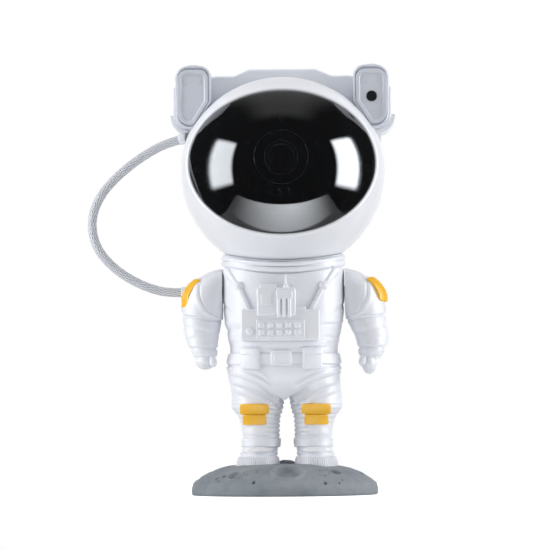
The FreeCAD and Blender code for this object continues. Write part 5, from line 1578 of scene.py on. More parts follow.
    def collar(self) -> Surface:
        """The collar: a saddle-shaped rim round the ball seat, with two soft ridges outside.

        Returns:
            The surface.
        """
        turn = np.linspace(0, 2 * math.pi, 361)
        c, s = np.cos(turn), np.sin(turn)
        half_x, half_y = self.collar_half
        centre_z, ball_r = self.seat

        def ring(grow: float, drop: float) -> Array:
            """A ring round the oval.

            Args:
                grow: How far it lies outside the oval.
                drop: How far below the rim.

            Returns:
                The ring's points.
            """
            x, y = (half_x + grow) * c, (half_y + grow + 0.9 * smooth(-0.3, 0.5, np.array(grow))) * s
            rim = centre_z - np.sqrt(ball_r**2 - (half_x * c) ** 2 - (half_y * s) ** 2)
            return np.stack([x, y, rim - drop], -1)

        def seat(grow: float) -> Array:
            """A ring on the ball, inside the oval by -grow."""
            x, y = (half_x + grow) * c, (half_y + grow) * s
            return np.stack([x, y, centre_z - np.sqrt(ball_r**2 - x**2 - y**2)], -1)

        rows = [seat(-5.0), seat(-3.4), seat(-2.0), seat(-1.2) + [0, 0, 0.04]]
        rows += [ring(-0.75, -0.05 + 0.3), ring(-0.35, 0.12), ring(0.0, 0.25), ring(0.3, 0.55)]
        for drop in np.linspace(0.8, 6.6, 59):
            wave = abs(math.sin(math.pi * (drop - 0.7) / 2.95)) ** 0.4
            rows.append(ring(-0.6 + 1.7 * wave * (0.35 + 0.65 * smooth(0.0, 1.0, np.array(drop - 0.6))), drop))
        rows += [ring(-0.3, 6.7), ring(-1.2, 6.9), ring(-2.5, 6.9)]
        return Surface.sheet(np.stack(rows))

    def harness(self, side: Side) -> Surface:
        """One harness line: a round strut, a ball joint and a flat tapering strap up to the collar.

        Args:
            side: Which of the two lines.

        Returns:
            Its three parts as one surface.
        """
        low, joint, top = self.harness_lines[side is Side.RIGHT]
        share = np.linspace(0, 1, 24)[:, None]

        def laid(first: tuple, last: tuple, rise: float | Array) -> Array:
            """A line on the torso's front between two places, lifted by rise."""
            x, z = (np.array(first) + (np.array(last) - np.array(first)) * share).T
            return np.stack([x, self.front_y(x, z) - rise, z], -1)

        strut = tube(laid(low, joint, 1.0), 1.35, REARWARD)
        spread = np.linspace(1.7, 3.4, 24)
        strap = tube(laid(joint, top, np.linspace(0.75, 0.3, 24) - spread), spread, REARWARD, 32)
        x, z = joint
        knob = ball((x, float(self.front_y(np.array(x), np.array(z))) - 1.0, z), (2.4, 2.3, 2.4))
        return Surface.joined([strut, strap, knob])

    def on_front(self, x: tuple[float, float], z: tuple[float, float], height: float,
                 edge: float) -> Surface:
        """A flat-faced pad that follows the torso's front.

        Args:
            x: From and to, left to right.
            z: From and to in height.
            height: Height of its face above the torso.
            edge: Radius of its rim.

        Returns:
            The closed surface.
        """
        middle = ((x[0] + x[1]) / 2, (z[0] + z[1]) / 2)
        half = ((x[1] - x[0]) / 2, (z[1] - z[0]) / 2)
        return badge(self.front_skin, middle, half, height, 1.2, edge, self.core, power=9.0)

    def belt_gear(self) -> Surface:
        """Buckle, its plate, and a pouch with a flap line on each side."""
        pads = [self.on_front((x0, x1), (z0, z1), height, edge) for x0, x1, z0, z1, height, edge in self.gear]
        return Surface.joined(pads)

    def build(self) -> None:
        """Makes the suit, the collar, the harness and the belt's fittings."""
        self.add("suit_torso", self.suit(), SUIT_WHITE, "suit_white", ["torso_front_shell", "torso_rear_shell"])
        self.add("suit_collar", self.collar(), SUIT_WHITE, "suit_white", ["neck_collar"])
        for side in Side:
            self.add(f"{side.prefix}_harness", self.harness(side), SUIT_WHITE, "suit_white")
        self.add("belt_fittings", self.belt_gear(), SUIT_WHITE, "suit_white")
        self.dress(["body_screws", "neck_clip"], STEEL)
        self.dress(["neck_plate", "swivel_cup"], INNER_BLACK)
        self.dress(["neck_magnet"], FERRITE)
        self.dress(["friction_ring"], PAD_RUBBER)
        self.dress(["left_axle", "right_axle"], INNER_BLACK)


@dataclass
class ChestUnit(SubAssembly):
    """Control unit on the chest: plates, keys, pipes, gauge, dial and aerial."""

    back_y: float = -20.0
    plates: tuple = (  # x from and to, z from and to, y of its face, radius of its corners and of its edge
        (-22.0, 19.2, 80.9, 97.6, -28.7, 1.3, 0.9), (-13.5, -2.9, 94.0, 108.8, -29.95, 1.3, 1.0),
        (-3.4, 6.9, 94.0, 108.8, -30.3, 1.3, 1.0), (-11.9, -3.2, 107.5, 110.6, -29.6, 0.9, 0.7),
        (6.6, 12.2, 96.6, 98.9, -29.0, 0.7, 0.6), (-3.4, 5.3, 102.6, 107.2, -31.1, 0.8, 0.6),
        (-11.4, -5.6, 99.6, 106.0, -30.4, 0.9, 0.4), (-13.9, 11.5, 82.2, 92.1, -29.4, 0.9, 0.6),
    )
    dial: tuple = ((0.0, -22.0), (2.3, -22.0), (2.3, -28.2), (2.15, -28.95), (1.9, -29.15), (1.5, -29.2),
                   (1.4, -29.75), (1.1, -29.95), (0.0, -30.0))  # radius and y
    dial_at: tuple[float, float, float] = (-17.2, 0.0, 86.0)
    aerial: tuple = ((0.0, 108.0), (1.5, 108.0), (1.5, 109.6), (1.2, 110.2), (0.62, 110.5), (0.5, 115.2),
                     (0.35, 115.6), (0.0, 115.7))  # radius and z
    aerial_at: tuple[float, float, float] = (1.7, -28.7, 0.0)
    key_y: float = -30.5
    key_half: tuple[float, float] = (1.55, 1.5)
    keys: tuple = (-11.2, 4.7, 5, 85.2, 3.9, 2)  # first x, pitch, columns, first z, pitch, rows
    pipes: tuple = (-2.05, 0.7, 3.6)
    pipe_y: float = -31.05
    pipe_foot: float = 93.4
    pipe_run: float = 9.6
    pipe_radius: float = 0.95

    def build(self) -> None:
        """Makes the unit in one piece, as it is moulded, with its small parts joined to it."""
        parts = [plate((x0, x1), (z0, z1), (self.back_y, y), corner, edge)
                 for x0, x1, z0, z1, y, corner, edge in self.plates]
        parts += [revolved(self.dial, self.dial_at, Axis.Y, 40), revolved(self.aerial, self.aerial_at, Axis.Z, 32)]
        first_x, pitch_x, columns, first_z, pitch_z, rows = self.keys
        wide, high = self.key_half
        for column in range(columns):
            for row in range(rows):
                x, z = first_x + pitch_x * column, first_z + pitch_z * row
                parts.append(plate((x - wide, x + wide), (z - high, z + high), (self.back_y, self.key_y),
                                   0.9, 0.8, 7))
        for x in self.pipes:
            run = np.array([[x, self.pipe_y, self.pipe_foot + self.pipe_run * t] for t in np.linspace(0, 1, 14)])
            parts.append(tube(run, self.pipe_radius, REARWARD, 24))
        x, y, _ = self.aerial_at
        vane = np.array([[x + 5.6 * t, y, 114.6 - 1.5 * t] for t in np.linspace(0, 1, 10)])
        parts.append(tube(vane, np.linspace(0.45, 0.22, 10), REARWARD, 16))
        self.add("chest_unit", Surface.joined(parts), SUIT_WHITE, "suit_white", ["chest_panel"])


@dataclass
class Backpack(SubAssembly):
    """Fittings on the life-support pack: three raised panels, vents, couplings and studs."""

    rear_y: float = 36.0
    panels: tuple = (  # x from and to, z from and to, height over the pack, radius of corners and of edge
        (-14.2, -1.0, 86.0, 98.4, 0.5, 1.2, 0.4), (1.0, 14.2, 86.0, 98.4, 0.5, 1.2, 0.4),
        (-9.0, 9.0, 103.4, 108.0, 0.4, 1.0, 0.4), (-12.2, -3.0, 88.2, 89.3, 0.85, 0.4, 0.3),
        (-12.2, -3.0, 90.7, 91.8, 0.85, 0.4, 0.3), (-12.2, -3.0, 93.2, 94.3, 0.85, 0.4, 0.3),
        (-12.2, -3.0, 95.7, 96.8, 0.85, 0.4, 0.3),
    )
    panel_foot: float = 1.5  # how far they reach into the pack
    coupling: tuple = ((0.0, -1.0), (2.3, -1.0), (2.3, 0.8), (2.0, 1.1), (1.4, 1.1), (1.2, 0.7), (0.0, 0.7))
    stud: tuple = ((0.0, -1.0), (1.8, -1.0), (1.8, 0.3), (1.5, 0.6), (0.0, 0.7))  # radius and height

    def build(self) -> None:
        """Dresses the pack and its socket, and adds its fittings."""
        y = self.rear_y
        parts = [plate((x0, x1), (z0, z1), (y - self.panel_foot, y + rise), corner, edge)
                 for x0, x1, z0, z1, rise, corner, edge in self.panels]
        for form, half, z, columns in ((self.coupling, (4.6, 10.6), 92.2, 40), (self.stud, (-10.5, 10.5), 78.4, 32)):
            parts += [revolved([(r, y + rise) for r, rise in form], (x, 0.0, z), Axis.Y, columns) for x in half]
        self.add("pack_fittings", Surface.joined(parts), SUIT_WHITE, "suit_white")
        self.dress(["backpack"], SUIT_WHITE)
        self.dress(["power_socket"], STEEL)


# ---------------------------------------------------------------- arms
@dataclass
class Arm(SubAssembly):
    """One arm: shoulder cap, sleeve with folds, cuff, gloved fist and the yellow badge."""

    side: Side = Side.RIGHT
    table: tuple = (
        (71.6, 41.5, -6.9, 5.0, 5.4), (74.6, 41.6, -6.6, 5.9, 6.4), (78.5, 42.6, -5.2, 7.5, 8.2),
        (84.0, 43.2, -3.6, 9.0, 9.8), (91.5, 42.9, -1.8, 10.3, 11.0), (99.5, 41.8, -0.4, 11.4, 12.0),
        (107.0, 40.0, 0.0, 12.4, 12.4), (112.0, 37.8, 0.0, 10.7, 11.4), (115.6, 35.2, 0.0, 7.9, 8.8),
        (118.2, 33.4, 0.0, 4.2, 5.2), (119.3, 32.9, 0.0, 0.3, 0.3),
    )
    core: tuple[float, float, float] = (40.0, 0.0, 95.0)  # a point inside
    face_x: float = 32.2
    leans: tuple = ((70.0, 74.6, 78.5, 84.0, 91.5, 99.5), (4.3, 4.3, 4.0, 3.0, 0.8, 0.0))  # right arm, by height
    seam: tuple = ((-6.0, 93.4), (-1.2, 95.6), (1.8, 99.6), (3.9, 104.0), (4.4, 111.0), (3.4, 117.6))
    badge_half: tuple[float, float] = (8.6, 7.5)
    badge_z: float = 106.2
    badge_fit: tuple = ((0.85, 0.0, 0.0), (1.7, 1.3, 1.5))  # left and right: thickness, raised by, shorter by
    fists: tuple = ((41.2, -7.7, 70.9, 5.3, 5.7, 4.7), (40.6, -7.7, 69.3, 4.1, 5.7, 5.9))  # left and right
    finger_gaps: tuple[float, float, float] = (-2.9, 0.1, 3.0)
    thumb: tuple = ((38.6, -10.2, 72.6), (36.2, -12.4, 70.6), (37.6, -12.6, 67.9))  # base, bend and tip

    def skin(self, turn: Array, z: Array) -> Array:
        """The arm's plain form."""
        return ovals(self.table, turn, z)

    def outer_skin(self, y: Array, z: Array) -> Array:
        """The arm's outer side by y and height, for the badge.

        Args:
            y: Place from front to back.
            z: Height.

        Returns:
            The points.
        """
        cx, cy, wide, deep = at_height(self.table, z)
        share = np.clip((y - cy) / deep, -0.98, 0.98)
        return np.stack([cx + wide * np.sqrt(1 - share**2), y, z], -1)

    def relief(self, p: Array) -> Array:
        """Height of the seam round the shoulder cap, the sleeve's hem, the elbow's folds and the cuff.

        Args:
            p: Points of any array shape.

        Returns:
            The height above the plain skin at each point.
        """
        x, y, z = p[..., 0], p[..., 1], p[..., 2]
        along = np.array(self.seam)
        line = through(along[:, 1], along[:, 0] + 39.5, z)
        off = (x - line) * 0.85
        seam = (-0.4 * ridge(off, 0.0, 0.4) + 0.45 * ridge(off, 1.6, 1.3)) * band(z, 93.0, 114.5, 2.0)
        hem_z = 94.2 + 0.16 * (x - 42.0) + 0.05 * y
        sleeve = 0.7 * smooth(hem_z - 0.5, hem_z + 0.3, z) * band(z, 80, 104, 3.0) - 0.55 * ridge(z, hem_z - 0.8, 0.6)
        elbow = -0.25 * ridge(z - 0.25 * x, 76.0, 1.0) + 0.2 * ridge(z - 0.25 * x, 78.4, 1.3)
        elbow = elbow - 0.2 * ridge(z + 0.3 * x, 97.0, 0.9) * smooth(2.0, -6.0, y)
        cuff = 0.55 * band(z, 73.2, 76.4, 0.35) - 0.5 * ridge(z, 77.2, 0.55) + 0.25 * ridge(z, 78.9, 0.9)
        soft = 0.1 * scatter_noise(p, 15.0, 7) * smooth(112.0, 100.0, z)
        return seam + sleeve + elbow + cuff + soft

    def sleeve(self) -> Surface:
        """The arm above the wrist, flat on the side of its shoulder.

        Returns:
            The closed surface.
        """
        turn = np.linspace(0, 2 * math.pi, 257)
        z = np.concatenate([np.linspace(71.7, 116.0, 190), 119.25 - 3.25 * (1 - np.linspace(0, 1, 40)[1:]) ** 2])
        u, v = np.broadcast_arrays(turn, z[:, None])
        p = self.skin(u, v)
        fade = smooth(119.1, 117.4, v)
        grid = raised(self.skin, u, v, self.relief(p) * fade, self.core)
        surface = Surface.capped(grid)
        surface.points[:, 0] = np.maximum(surface.points[:, 0], self.face_x)
        return surface

    def glove(self) -> Surface:
        """The fist: an ellipsoid with three grooves between its fingers, and a bent thumb in front.

        Returns:
            The fist and the thumb as one surface.
        """
        unit = sphere(110, 160)
        middle, half = np.split(np.array(self.fists[self.side is Side.RIGHT]), 2)
        across = unit[..., 1] * half[1]
        low = smooth(0.45, -0.15, unit[..., 2])
        grooves = sum(ridge(across, gap, 0.42) for gap in self.finger_gaps)
        knuckle = ridge(unit[..., 2], -0.05, 0.16) * smooth(-0.2, 0.5, unit[..., 0])
        reach = 1 - (0.11 * grooves * low) + 0.03 * knuckle
        hand = Surface.sheet(unit * reach[..., None] * half + middle)
        share = np.linspace(0, 1, 26)[:, None]
        base, bend, tip = np.array(self.thumb)
        path = base * (1 - share) ** 2 + bend * 2 * share * (1 - share) + tip * share**2
        thick = 2.0 * np.sqrt(np.clip(1 - (np.abs(share[:, 0] - 0.45) / 0.56) ** 4, 0.02, 1))
        return Surface.joined([hand, tube(path, thick, np.array([0.0, 1.0, 0.2]))])

    def placed(self, surface: Surface) -> Surface:
        """The surface on its own side; the right forearm stands out further.

        Args:
            surface: A surface made for the left arm.

        Returns:
            The moved surface.
        """
        points = surface.points.copy()
        if self.side is Side.RIGHT:
            points[:, 0] += through(*self.leans, points[:, 2])
        return Surface(points, surface.faces).on(self.side)

    def build(self) -> None:
        """Makes the sleeve, the glove and the badge."""
        name = self.side.prefix
        self.body = f"{name}_arm"
        self.add(f"{name}_sleeve", self.placed(self.sleeve()), SUIT_WHITE, "suit_white", [f"{name}_arm"])
        self.add(f"{name}_glove", self.placed(self.glove()), SUIT_WHITE, "suit_white")
        rise, lift, trim = self.badge_fit[self.side is Side.RIGHT]
        half = (self.badge_half[0], self.badge_half[1] - trim)
        pad = badge(self.outer_skin, (-0.4, self.badge_z + lift), half, rise, 1.0, 0.5, (40.0, 0.0, 105.0),
                    power=7.0)
        self.add(f"{name}_shoulder_badge", pad.on(self.side), BADGE_YELLOW, "patch_yellow",
                 [f"{name}_arm_patch"])


# ---------------------------------------------------------------- legs
@dataclass
class Leg(SubAssembly):
    """One leg: thigh under the torso's hem, knee pad, bellows, ankle ring and ribbed boot."""

    torso: Torso = None
    side: Side = Side.RIGHT
    table: tuple = (
        (27.0, 13.6, 0.2, 9.5, 10.3), (28.2, 13.6, 0.2, 9.7, 10.6), (32.5, 13.9, 0.0, 9.85, 10.9),
        (38.0, 14.2, 0.0, 10.25, 11.5), (42.0, 14.8, 0.0, 11.3, 12.6), (45.0, 15.4, 0.0, 13.0, 13.9),
        (50.4, 15.9, 0.0, 14.1, 15.2), (70.0, 15.9, 0.0, 14.2, 18.0),
    )
    boot_table: tuple = (
        (14.8, 15.4, -2.6, 11.2, 15.2), (17.5, 15.3, -2.5, 10.8, 14.6), (20.6, 15.1, -2.1, 9.9, 13.4),
        (23.4, 14.6, -1.0, 9.4, 12.0), (25.6, 14.0, 0.0, 9.4, 10.8), (30.4, 13.7, 0.2, 9.5, 10.6),
    )
    top_z: float = 66.0
    under: float = 0.8  # thigh below the torso's skin
    middle_x: float = 0.35
    blend_z: tuple[float, float] = (45.0, 60.0)  # between them the leg's section becomes the torso's
    pads: tuple = ((9.0, 23.4, 42.9, 48.1, 1.25), (10.2, 22.1, 37.1, 42.6, 1.0))  # x, x, z, z and height
    toe: tuple = (14.4, 23.4, 6.6, 1.55)  # x, z and half sizes of the oval on the instep
    shift: float = 1.4  # both legs stand a little to the right of the base's middle
    ribs: int = 60

    def boot_skin(self, turn: Array, z: Array) -> Array:
        """The boot's plain form."""
        return ovals(self.boot_table, turn, z)

    def thigh_reach(self, turn: Array, z: Array) -> Array:
        """Distance from the leg's middle to the torso's skin or to the middle plane, found by halving.

        Args:
            turn: Angle round the leg.
            z: Height.

        Returns:
            The distance along each angle.
        """
        wide, front, back = at_height(self.torso.table, z)
        cx, cy = at_height(self.table, z)[:2]
        a = wide - self.under
        low, high = np.zeros_like(z + turn), np.full_like(z + turn, 40.0)
        for _ in range(22):
            reach = (low + high) / 2
            x, y = cx + reach * np.cos(turn), cy + reach * np.sin(turn)
            b = np.where(y > 0, back, front) - self.under
            inside = (np.abs(x) / a) ** self.torso.power + (np.abs(y) / b) ** self.torso.power < 1
            inside &= x > self.middle_x
            low, high = np.where(inside, reach, low), np.where(inside, high, reach)
        return low

    def skin(self, turn: Array, z: Array) -> Array:
        """An ellipse below that becomes half of the torso's section above.

        Args:
            turn: Angle round the leg; its cosine points along X.
            z: Height.

        Returns:
            The points.
        """
        cx, cy, wide, deep = at_height(self.table, z)
        c, s = np.cos(turn), np.sin(turn)
        oval = wide * deep / np.sqrt((deep * c) ** 2 + (wide * s) ** 2)
        t = smooth(*self.blend_z, z)
        reach = oval + (self.thigh_reach(turn, z) - oval) * t
        return np.stack([cx + reach * c, cy + reach * s, z + 0 * turn], -1)

    def front_skin(self, x: Array, z: Array) -> Array:
        """The leg's front by x and height, for the knee pad.

        Args:
            x: Place from left to right.
            z: Height.

        Returns:
            The points.
        """
        cx, cy, wide, deep = at_height(self.table, z)
        share = np.clip((x - cx) / wide, -0.97, 0.97)
        return np.stack([x, cy - deep * np.sqrt(1 - share**2), z], -1)

    def relief(self, p: Array) -> Array:
        """Height of the bellows inside, two lines above the ankle, and the folds under the hip.

        Args:
            p: Points of any array shape.

        Returns:
            The height above the plain skin at each point.
        """
        x, y, z = p[..., 0], p[..., 1], p[..., 2]
        off = x - at_height(self.table, z)[0]
        inner, outer = smooth(-1.0, -7.0, off), smooth(2.0, 8.0, off)
        wave = np.abs(np.sin(math.pi * (z - 30.4) / 2.4))
        bellows = (0.75 * wave - 0.5) * inner * band(z, 30.5, 50.0, 1.0)
        sides = (0.25 * wave - 0.15) * outer * band(z, 37.0, 50.0, 2.0)
        calf = -0.3 * ridge(z, 31.3, 0.3) - 0.35 * ridge(z, 30.2, 0.4)
        under = self.torso.hem(x) - z
        folds = (0.9 * ridge(under, 2.6, 1.4) - 0.85 * ridge(under, 5.0, 0.8) + 0.55 * ridge(under, 7.2, 1.3)
                 - 0.4 * ridge(under, 9.4, 0.8))
        folds = folds * smooth(1.0, 4.0, x) * smooth(25.0, 14.0, np.abs(y)) * (0.2 + 0.6 * smooth(-1.0, -9.0, y))
        folds = folds * (0.3 + 0.7 * smooth(28.0, 21.0, x))
        soft = 0.1 * scatter_noise(p, 13.0, 11) * band(z, 34.0, 58.0, 3.0)
        return bellows + sides + calf + folds + soft

    def trouser(self) -> Surface:
        """The leg from inside the ankle ring to inside the torso.

        Returns:
            The closed surface.
        """
        turn = np.linspace(0, 2 * math.pi, 321)
        z = np.linspace(27.2, self.top_z, 210)[:, None]
        u, v = np.broadcast_arrays(turn, z)
        p = self.skin(u, v)
        fade = smooth(self.top_z, self.top_z - 1.0, v)
        grid = raised(self.skin, u, v, self.relief(p) * fade, (15.0, 0.0, 45.0))
        grid[..., 0] = np.maximum(grid[..., 0], self.middle_x)
        return Surface.capped(grid)

    def boot(self) -> Surface:
        """The boot: a ribbed sole, a welt, an oval on the instep and a flat ring at the ankle.

        Returns:
            The closed surface.
        """
        turn = np.linspace(0, 2 * math.pi, 601)
        z = np.linspace(14.9, 30.3, 118)[:, None]
        u, v = np.broadcast_arrays(turn, z)
        p = self.boot_skin(u, v)
        sole = band(v, 13.0, 20.2, 0.25)
        height = sole * (0.1 + 0.45 * smooth(-0.35, 0.35, np.sin(self.ribs * u)))
        height = height - 0.45 * ridge(v, 20.9, 0.35) + 0.35 * ridge(v, 21.9, 0.55)
        height = height + 0.95 * band(v, 25.3, 29.9, 0.28) - 0.3 * ridge(v, 24.9, 0.3)
        toe_x, toe_z, half_x, half_z = self.toe
        toe = np.sqrt(((p[..., 0] - toe_x) / half_x) ** 2 + ((v - toe_z) / half_z) ** 2)
        height = height + np.where(p[..., 1] < 0, 1.2 * (1 - smooth(0.8, 1.0, toe)) - 0.7 * ridge(toe, 1.15, 0.13), 0)
        grid = raised(self.boot_skin, u, v, height, (14.5, -1.0, 22.0))
        return Surface.capped(grid)

    def knee(self) -> Surface:
        """The yellow pad: a wide upper and a narrower lower block with soft corners.

        Returns:
            Both blocks as one surface.
        """
        pads = []
        for x0, x1, z0, z1, height in self.pads:
            middle, half = ((x0 + x1) / 2, (z0 + z1) / 2), ((x1 - x0) / 2, (z1 - z0) / 2)
            pads.append(badge(self.front_skin, middle, half, height, 0.9, 0.45, (15.0, 0.0, 42.0), power=12.0))
        return Surface.joined(pads)

    def placed(self, surface: Surface, share: float = 1.0) -> Surface:
        """The surface on its own side, moved by a share of the stance's shift below the hips.

        Args:
            surface: A surface made for the left leg.
            share: Share of the shift it takes.

        Returns:
            The moved surface.
        """
        points = surface.on(self.side).points.copy()
        points[:, 0] += self.shift * share * smooth(64.0, 50.0, points[:, 2])
        return Surface(points, surface.on(self.side).faces)

    def build(self) -> None:
        """Makes the trouser leg, the boot and the knee pad."""
        name = self.side.prefix
        self.add(f"{name}_trouser", self.placed(self.trouser()), SUIT_WHITE, "suit_white", [f"{name}_leg"])
        self.add(f"{name}_moon_boot", self.placed(self.boot()), SUIT_WHITE, "suit_white", [f"{name}_boot"])
        self.add(f"{name}_knee_pad", self.placed(self.knee(), 0.5), BADGE_YELLOW, "patch_yellow",
                 [f"{name}_knee_patch"])


# ---------------------------------------------------------------- base
@dataclass
class MoonBase(SubAssembly):
    """The grey moon that the figure stands on."""

    profile: tuple = ((48.6, 0.1), (49.0, 0.6), (49.2, 2.6), (48.4, 6.0), (45.0, 8.9), (40.0, 11.7),
                      (34.0, 13.9), (25.0, 15.8), (12.0, 16.4), (0.0, 16.4))
    wall: float = 2.2
    craters: tuple = (  # x, y, radius, depth, height of the rim
        (2.3, -37.0, 7.2, 2.4, 1.1), (26.4, -27.5, 3.3, 2.4, 0.5), (-35.0, -27.5, 1.0, 1.3, 0.15),
        (-31.0, -29.5, 1.0, 1.3, 0.15), (-33.9, -31.5, 0.6, 0.6, 0.0), (-25.0, -33.0, 3.4, 1.2, 0.6),
        (-19.2, -36.0, 0.5, 0.5, 0.0), (-14.0, -35.0, 0.8, 0.8, 0.1), (-12.2, -31.0, 0.5, 0.5, 0.0),
        (-15.3, -44.6, 0.9, 1.6, 0.25), (21.8, -42.4, 0.8, 1.4, 0.2), (18.3, -31.5, 0.5, 0.6, 0.0),
        (23.4, -33.0, 0.5, 0.6, 0.0), (21.5, -36.5, 0.45, 0.6, 0.0), (30.4, -34.5, 0.5, 0.6, 0.0),
        (29.0, -38.0, 0.5, 0.6, 0.0), (-33.0, 14.0, 6.0, 1.7, 0.5), (10.0, 33.0, 7.5, 2.0, 0.6),
        (-8.0, 40.0, 3.4, 1.1, 0.3), (37.0, 12.0, 4.4, 1.4, 0.4), (-15.0, 27.0, 2.8, 0.9, 0.3),
        (24.0, 30.0, 2.6, 0.9, 0.3), (40.0, -8.0, 2.2, 0.9, 0.25), (-41.5, -3.0, 2.6, 1.0, 0.25),
    )
    flank: float = 47.5  # outside this radius only a share of what rises is kept
    flank_share: float = 0.15
    inner: float = 0.952  # inner wall's radius as a share of the outer one's
    hump: tuple = (0.8, 4.0, 4.5, 1.7)  # x, y, radius and height of the rock between the boots
    pits: int = 46
    seed: int = 5

    def skin(self, turn: Array, s: Array) -> Array:
        """The profile turned about Z, by the length along it from its foot.

        Args:
            turn: Angle round Z.
            s: Length along the profile.

        Returns:
            The points.
        """
        radius, height = np.array(self.profile).T
        length = np.concatenate([[0], np.cumsum(np.hypot(np.diff(radius), np.diff(height)))])
        r, z = through(length, radius, s), through(length, height, s)
        return np.stack([r * np.cos(turn), r * np.sin(turn), z + 0 * turn], -1)

    def relief(self, p: Array) -> Array:
        """Height of craters with raised rims, small pits, dents and rough ground.

        Args:
            p: Points of any array shape.

        Returns:
            The height above the plain skin at each point.
        """
        height = 0.22 * scatter_noise(p, 17.0, 21) + 0.04 * scatter_noise(p, 5.0, 22)
        for x, y, radius, depth, rim in self.craters:
            t = np.hypot(p[..., 0] - x, p[..., 1] - y) / radius
            calm = smooth(0.8, 1.4, t)
            height = height * calm - depth * (1 - smooth(0.72, 1.0, t)) + rim * ridge(t, 1.12, 0.12)
        draw = np.random.default_rng(self.seed)
        angle, far = draw.uniform(-0.2, math.pi + 0.2, self.pits), draw.uniform(17, 47, self.pits)
        size = draw.uniform(0.4, 0.9, self.pits)
        for a, r, width in zip(angle, far, size):
            t = np.hypot(p[..., 0] - r * math.cos(a), p[..., 1] - r * math.sin(a)) / width
            height = height - 0.6 * width * (1 - smooth(0.4, 1.0, t)) * (p[..., 2] > 5)
        x, y, radius, rise = self.hump
        away = np.hypot((p[..., 0] - x) / 1.6, p[..., 1] - y) / radius
        return height + rise * (1 - smooth(0.2, 1.0, away))

    def build(self) -> None:
        """Makes the moon, closed by its inner wall, and dresses what is under it."""
        radius, height = np.array(self.profile).T
        total = float(np.hypot(np.diff(radius), np.diff(height)).sum())
        turn = np.linspace(0, 2 * math.pi, 721)
        s = np.linspace(0, total - 0.01, 260)[:, None]
        u, v = np.broadcast_arrays(turn, s)
        p = self.skin(u, v)
        lift = self.relief(p) * smooth(0.2, 3.0, v)
        reach = np.hypot(p[..., 0], p[..., 1])
        lift = np.where((reach > self.flank) & (lift > 0), lift * self.flank_share, lift)
        grid = raised(self.skin, u, v, lift, (0.0, 0.0, 8.0))
        pole = grid[-1].mean(axis=0) + 0 * grid[:1]
        inside = [self.skin(u[:1], np.full_like(u[:1], share * total)) for share in (0.0, 0.06, 0.2, 0.45, 0.7)]
        inside = [ring * np.array([self.inner, self.inner, 1.0]) - np.array([0, 0, self.wall * (k > 0)])
                  for k, ring in enumerate(inside)]
        lid = inside[-1] * np.array([0.0, 0.0, 1.0])
        surface = Surface.sheet(np.concatenate([lid, *inside[::-1], grid, pole]))
        self.add("moon_base", surface, MOON_GREY, "moon_grey", ["moon_base_shell"])
        self.dress(["base_plate"], COVER_GREY)
        self.dress(["base_pad"], PAD_RUBBER)
        self.dress(["ballast"], STEEL)


# ---------------------------------------------------------------- studio
@dataclass(frozen=True)
class Softbox:
    """A rectangular lamp that faces a point, and the window it shines through if it has one."""

    name: str
    at: tuple[float, float, float]
    to: tuple[float, float, float]
    size: tuple[float, float]
    power: float  # radiance; 1 looks white
    seen_by: SeenBy
    window: tuple = ()  # its corners in order
    soft: tuple = ()  # width of the soft edge that starts at each corner


SOFTBOXES = (
    Softbox("side_left", (-940, -225, 290), (0, -225, 290), (650, 820), 3.6, SeenBy.DIFFUSE),
    Softbox("side_right", (940, -80, 345), (0, -80, 345), (690, 870), 3.05, SeenBy.DIFFUSE),
    Softbox("overhead", (0, -60, 900), (0, 0, 200), (800, 800), 1.0, SeenBy.DIFFUSE),
    Softbox("cloth_left", (-900, -280, 343), (0, -280, 343), (680, 1000), 5.8, SeenBy.GLOSSY,
            ((-900, -615, -150), (-900, -615, 840), (-900, 50, 730), (-900, 50, -110)), (110, 120, 150, 110)),
    Softbox("cloth_right", (900, -170, 345), (0, -170, 345), (640, 1040), 8.4, SeenBy.GLOSSY,
            ((900, -480, -165), (900, -480, 860), (900, 145, 740), (900, 145, -110)), (110, 120, 120, 110)),
    Softbox("table_cloth", (0, -139, 1.5), (0, -139, 500), (640, 152), 4.1, SeenBy.GLOSSY,
            ((-320, -215, 1.5), (320, -215, 1.5), (220, -63, 1.5), (-220, -63, 1.5)), (5, 250, 8, 330)),
)


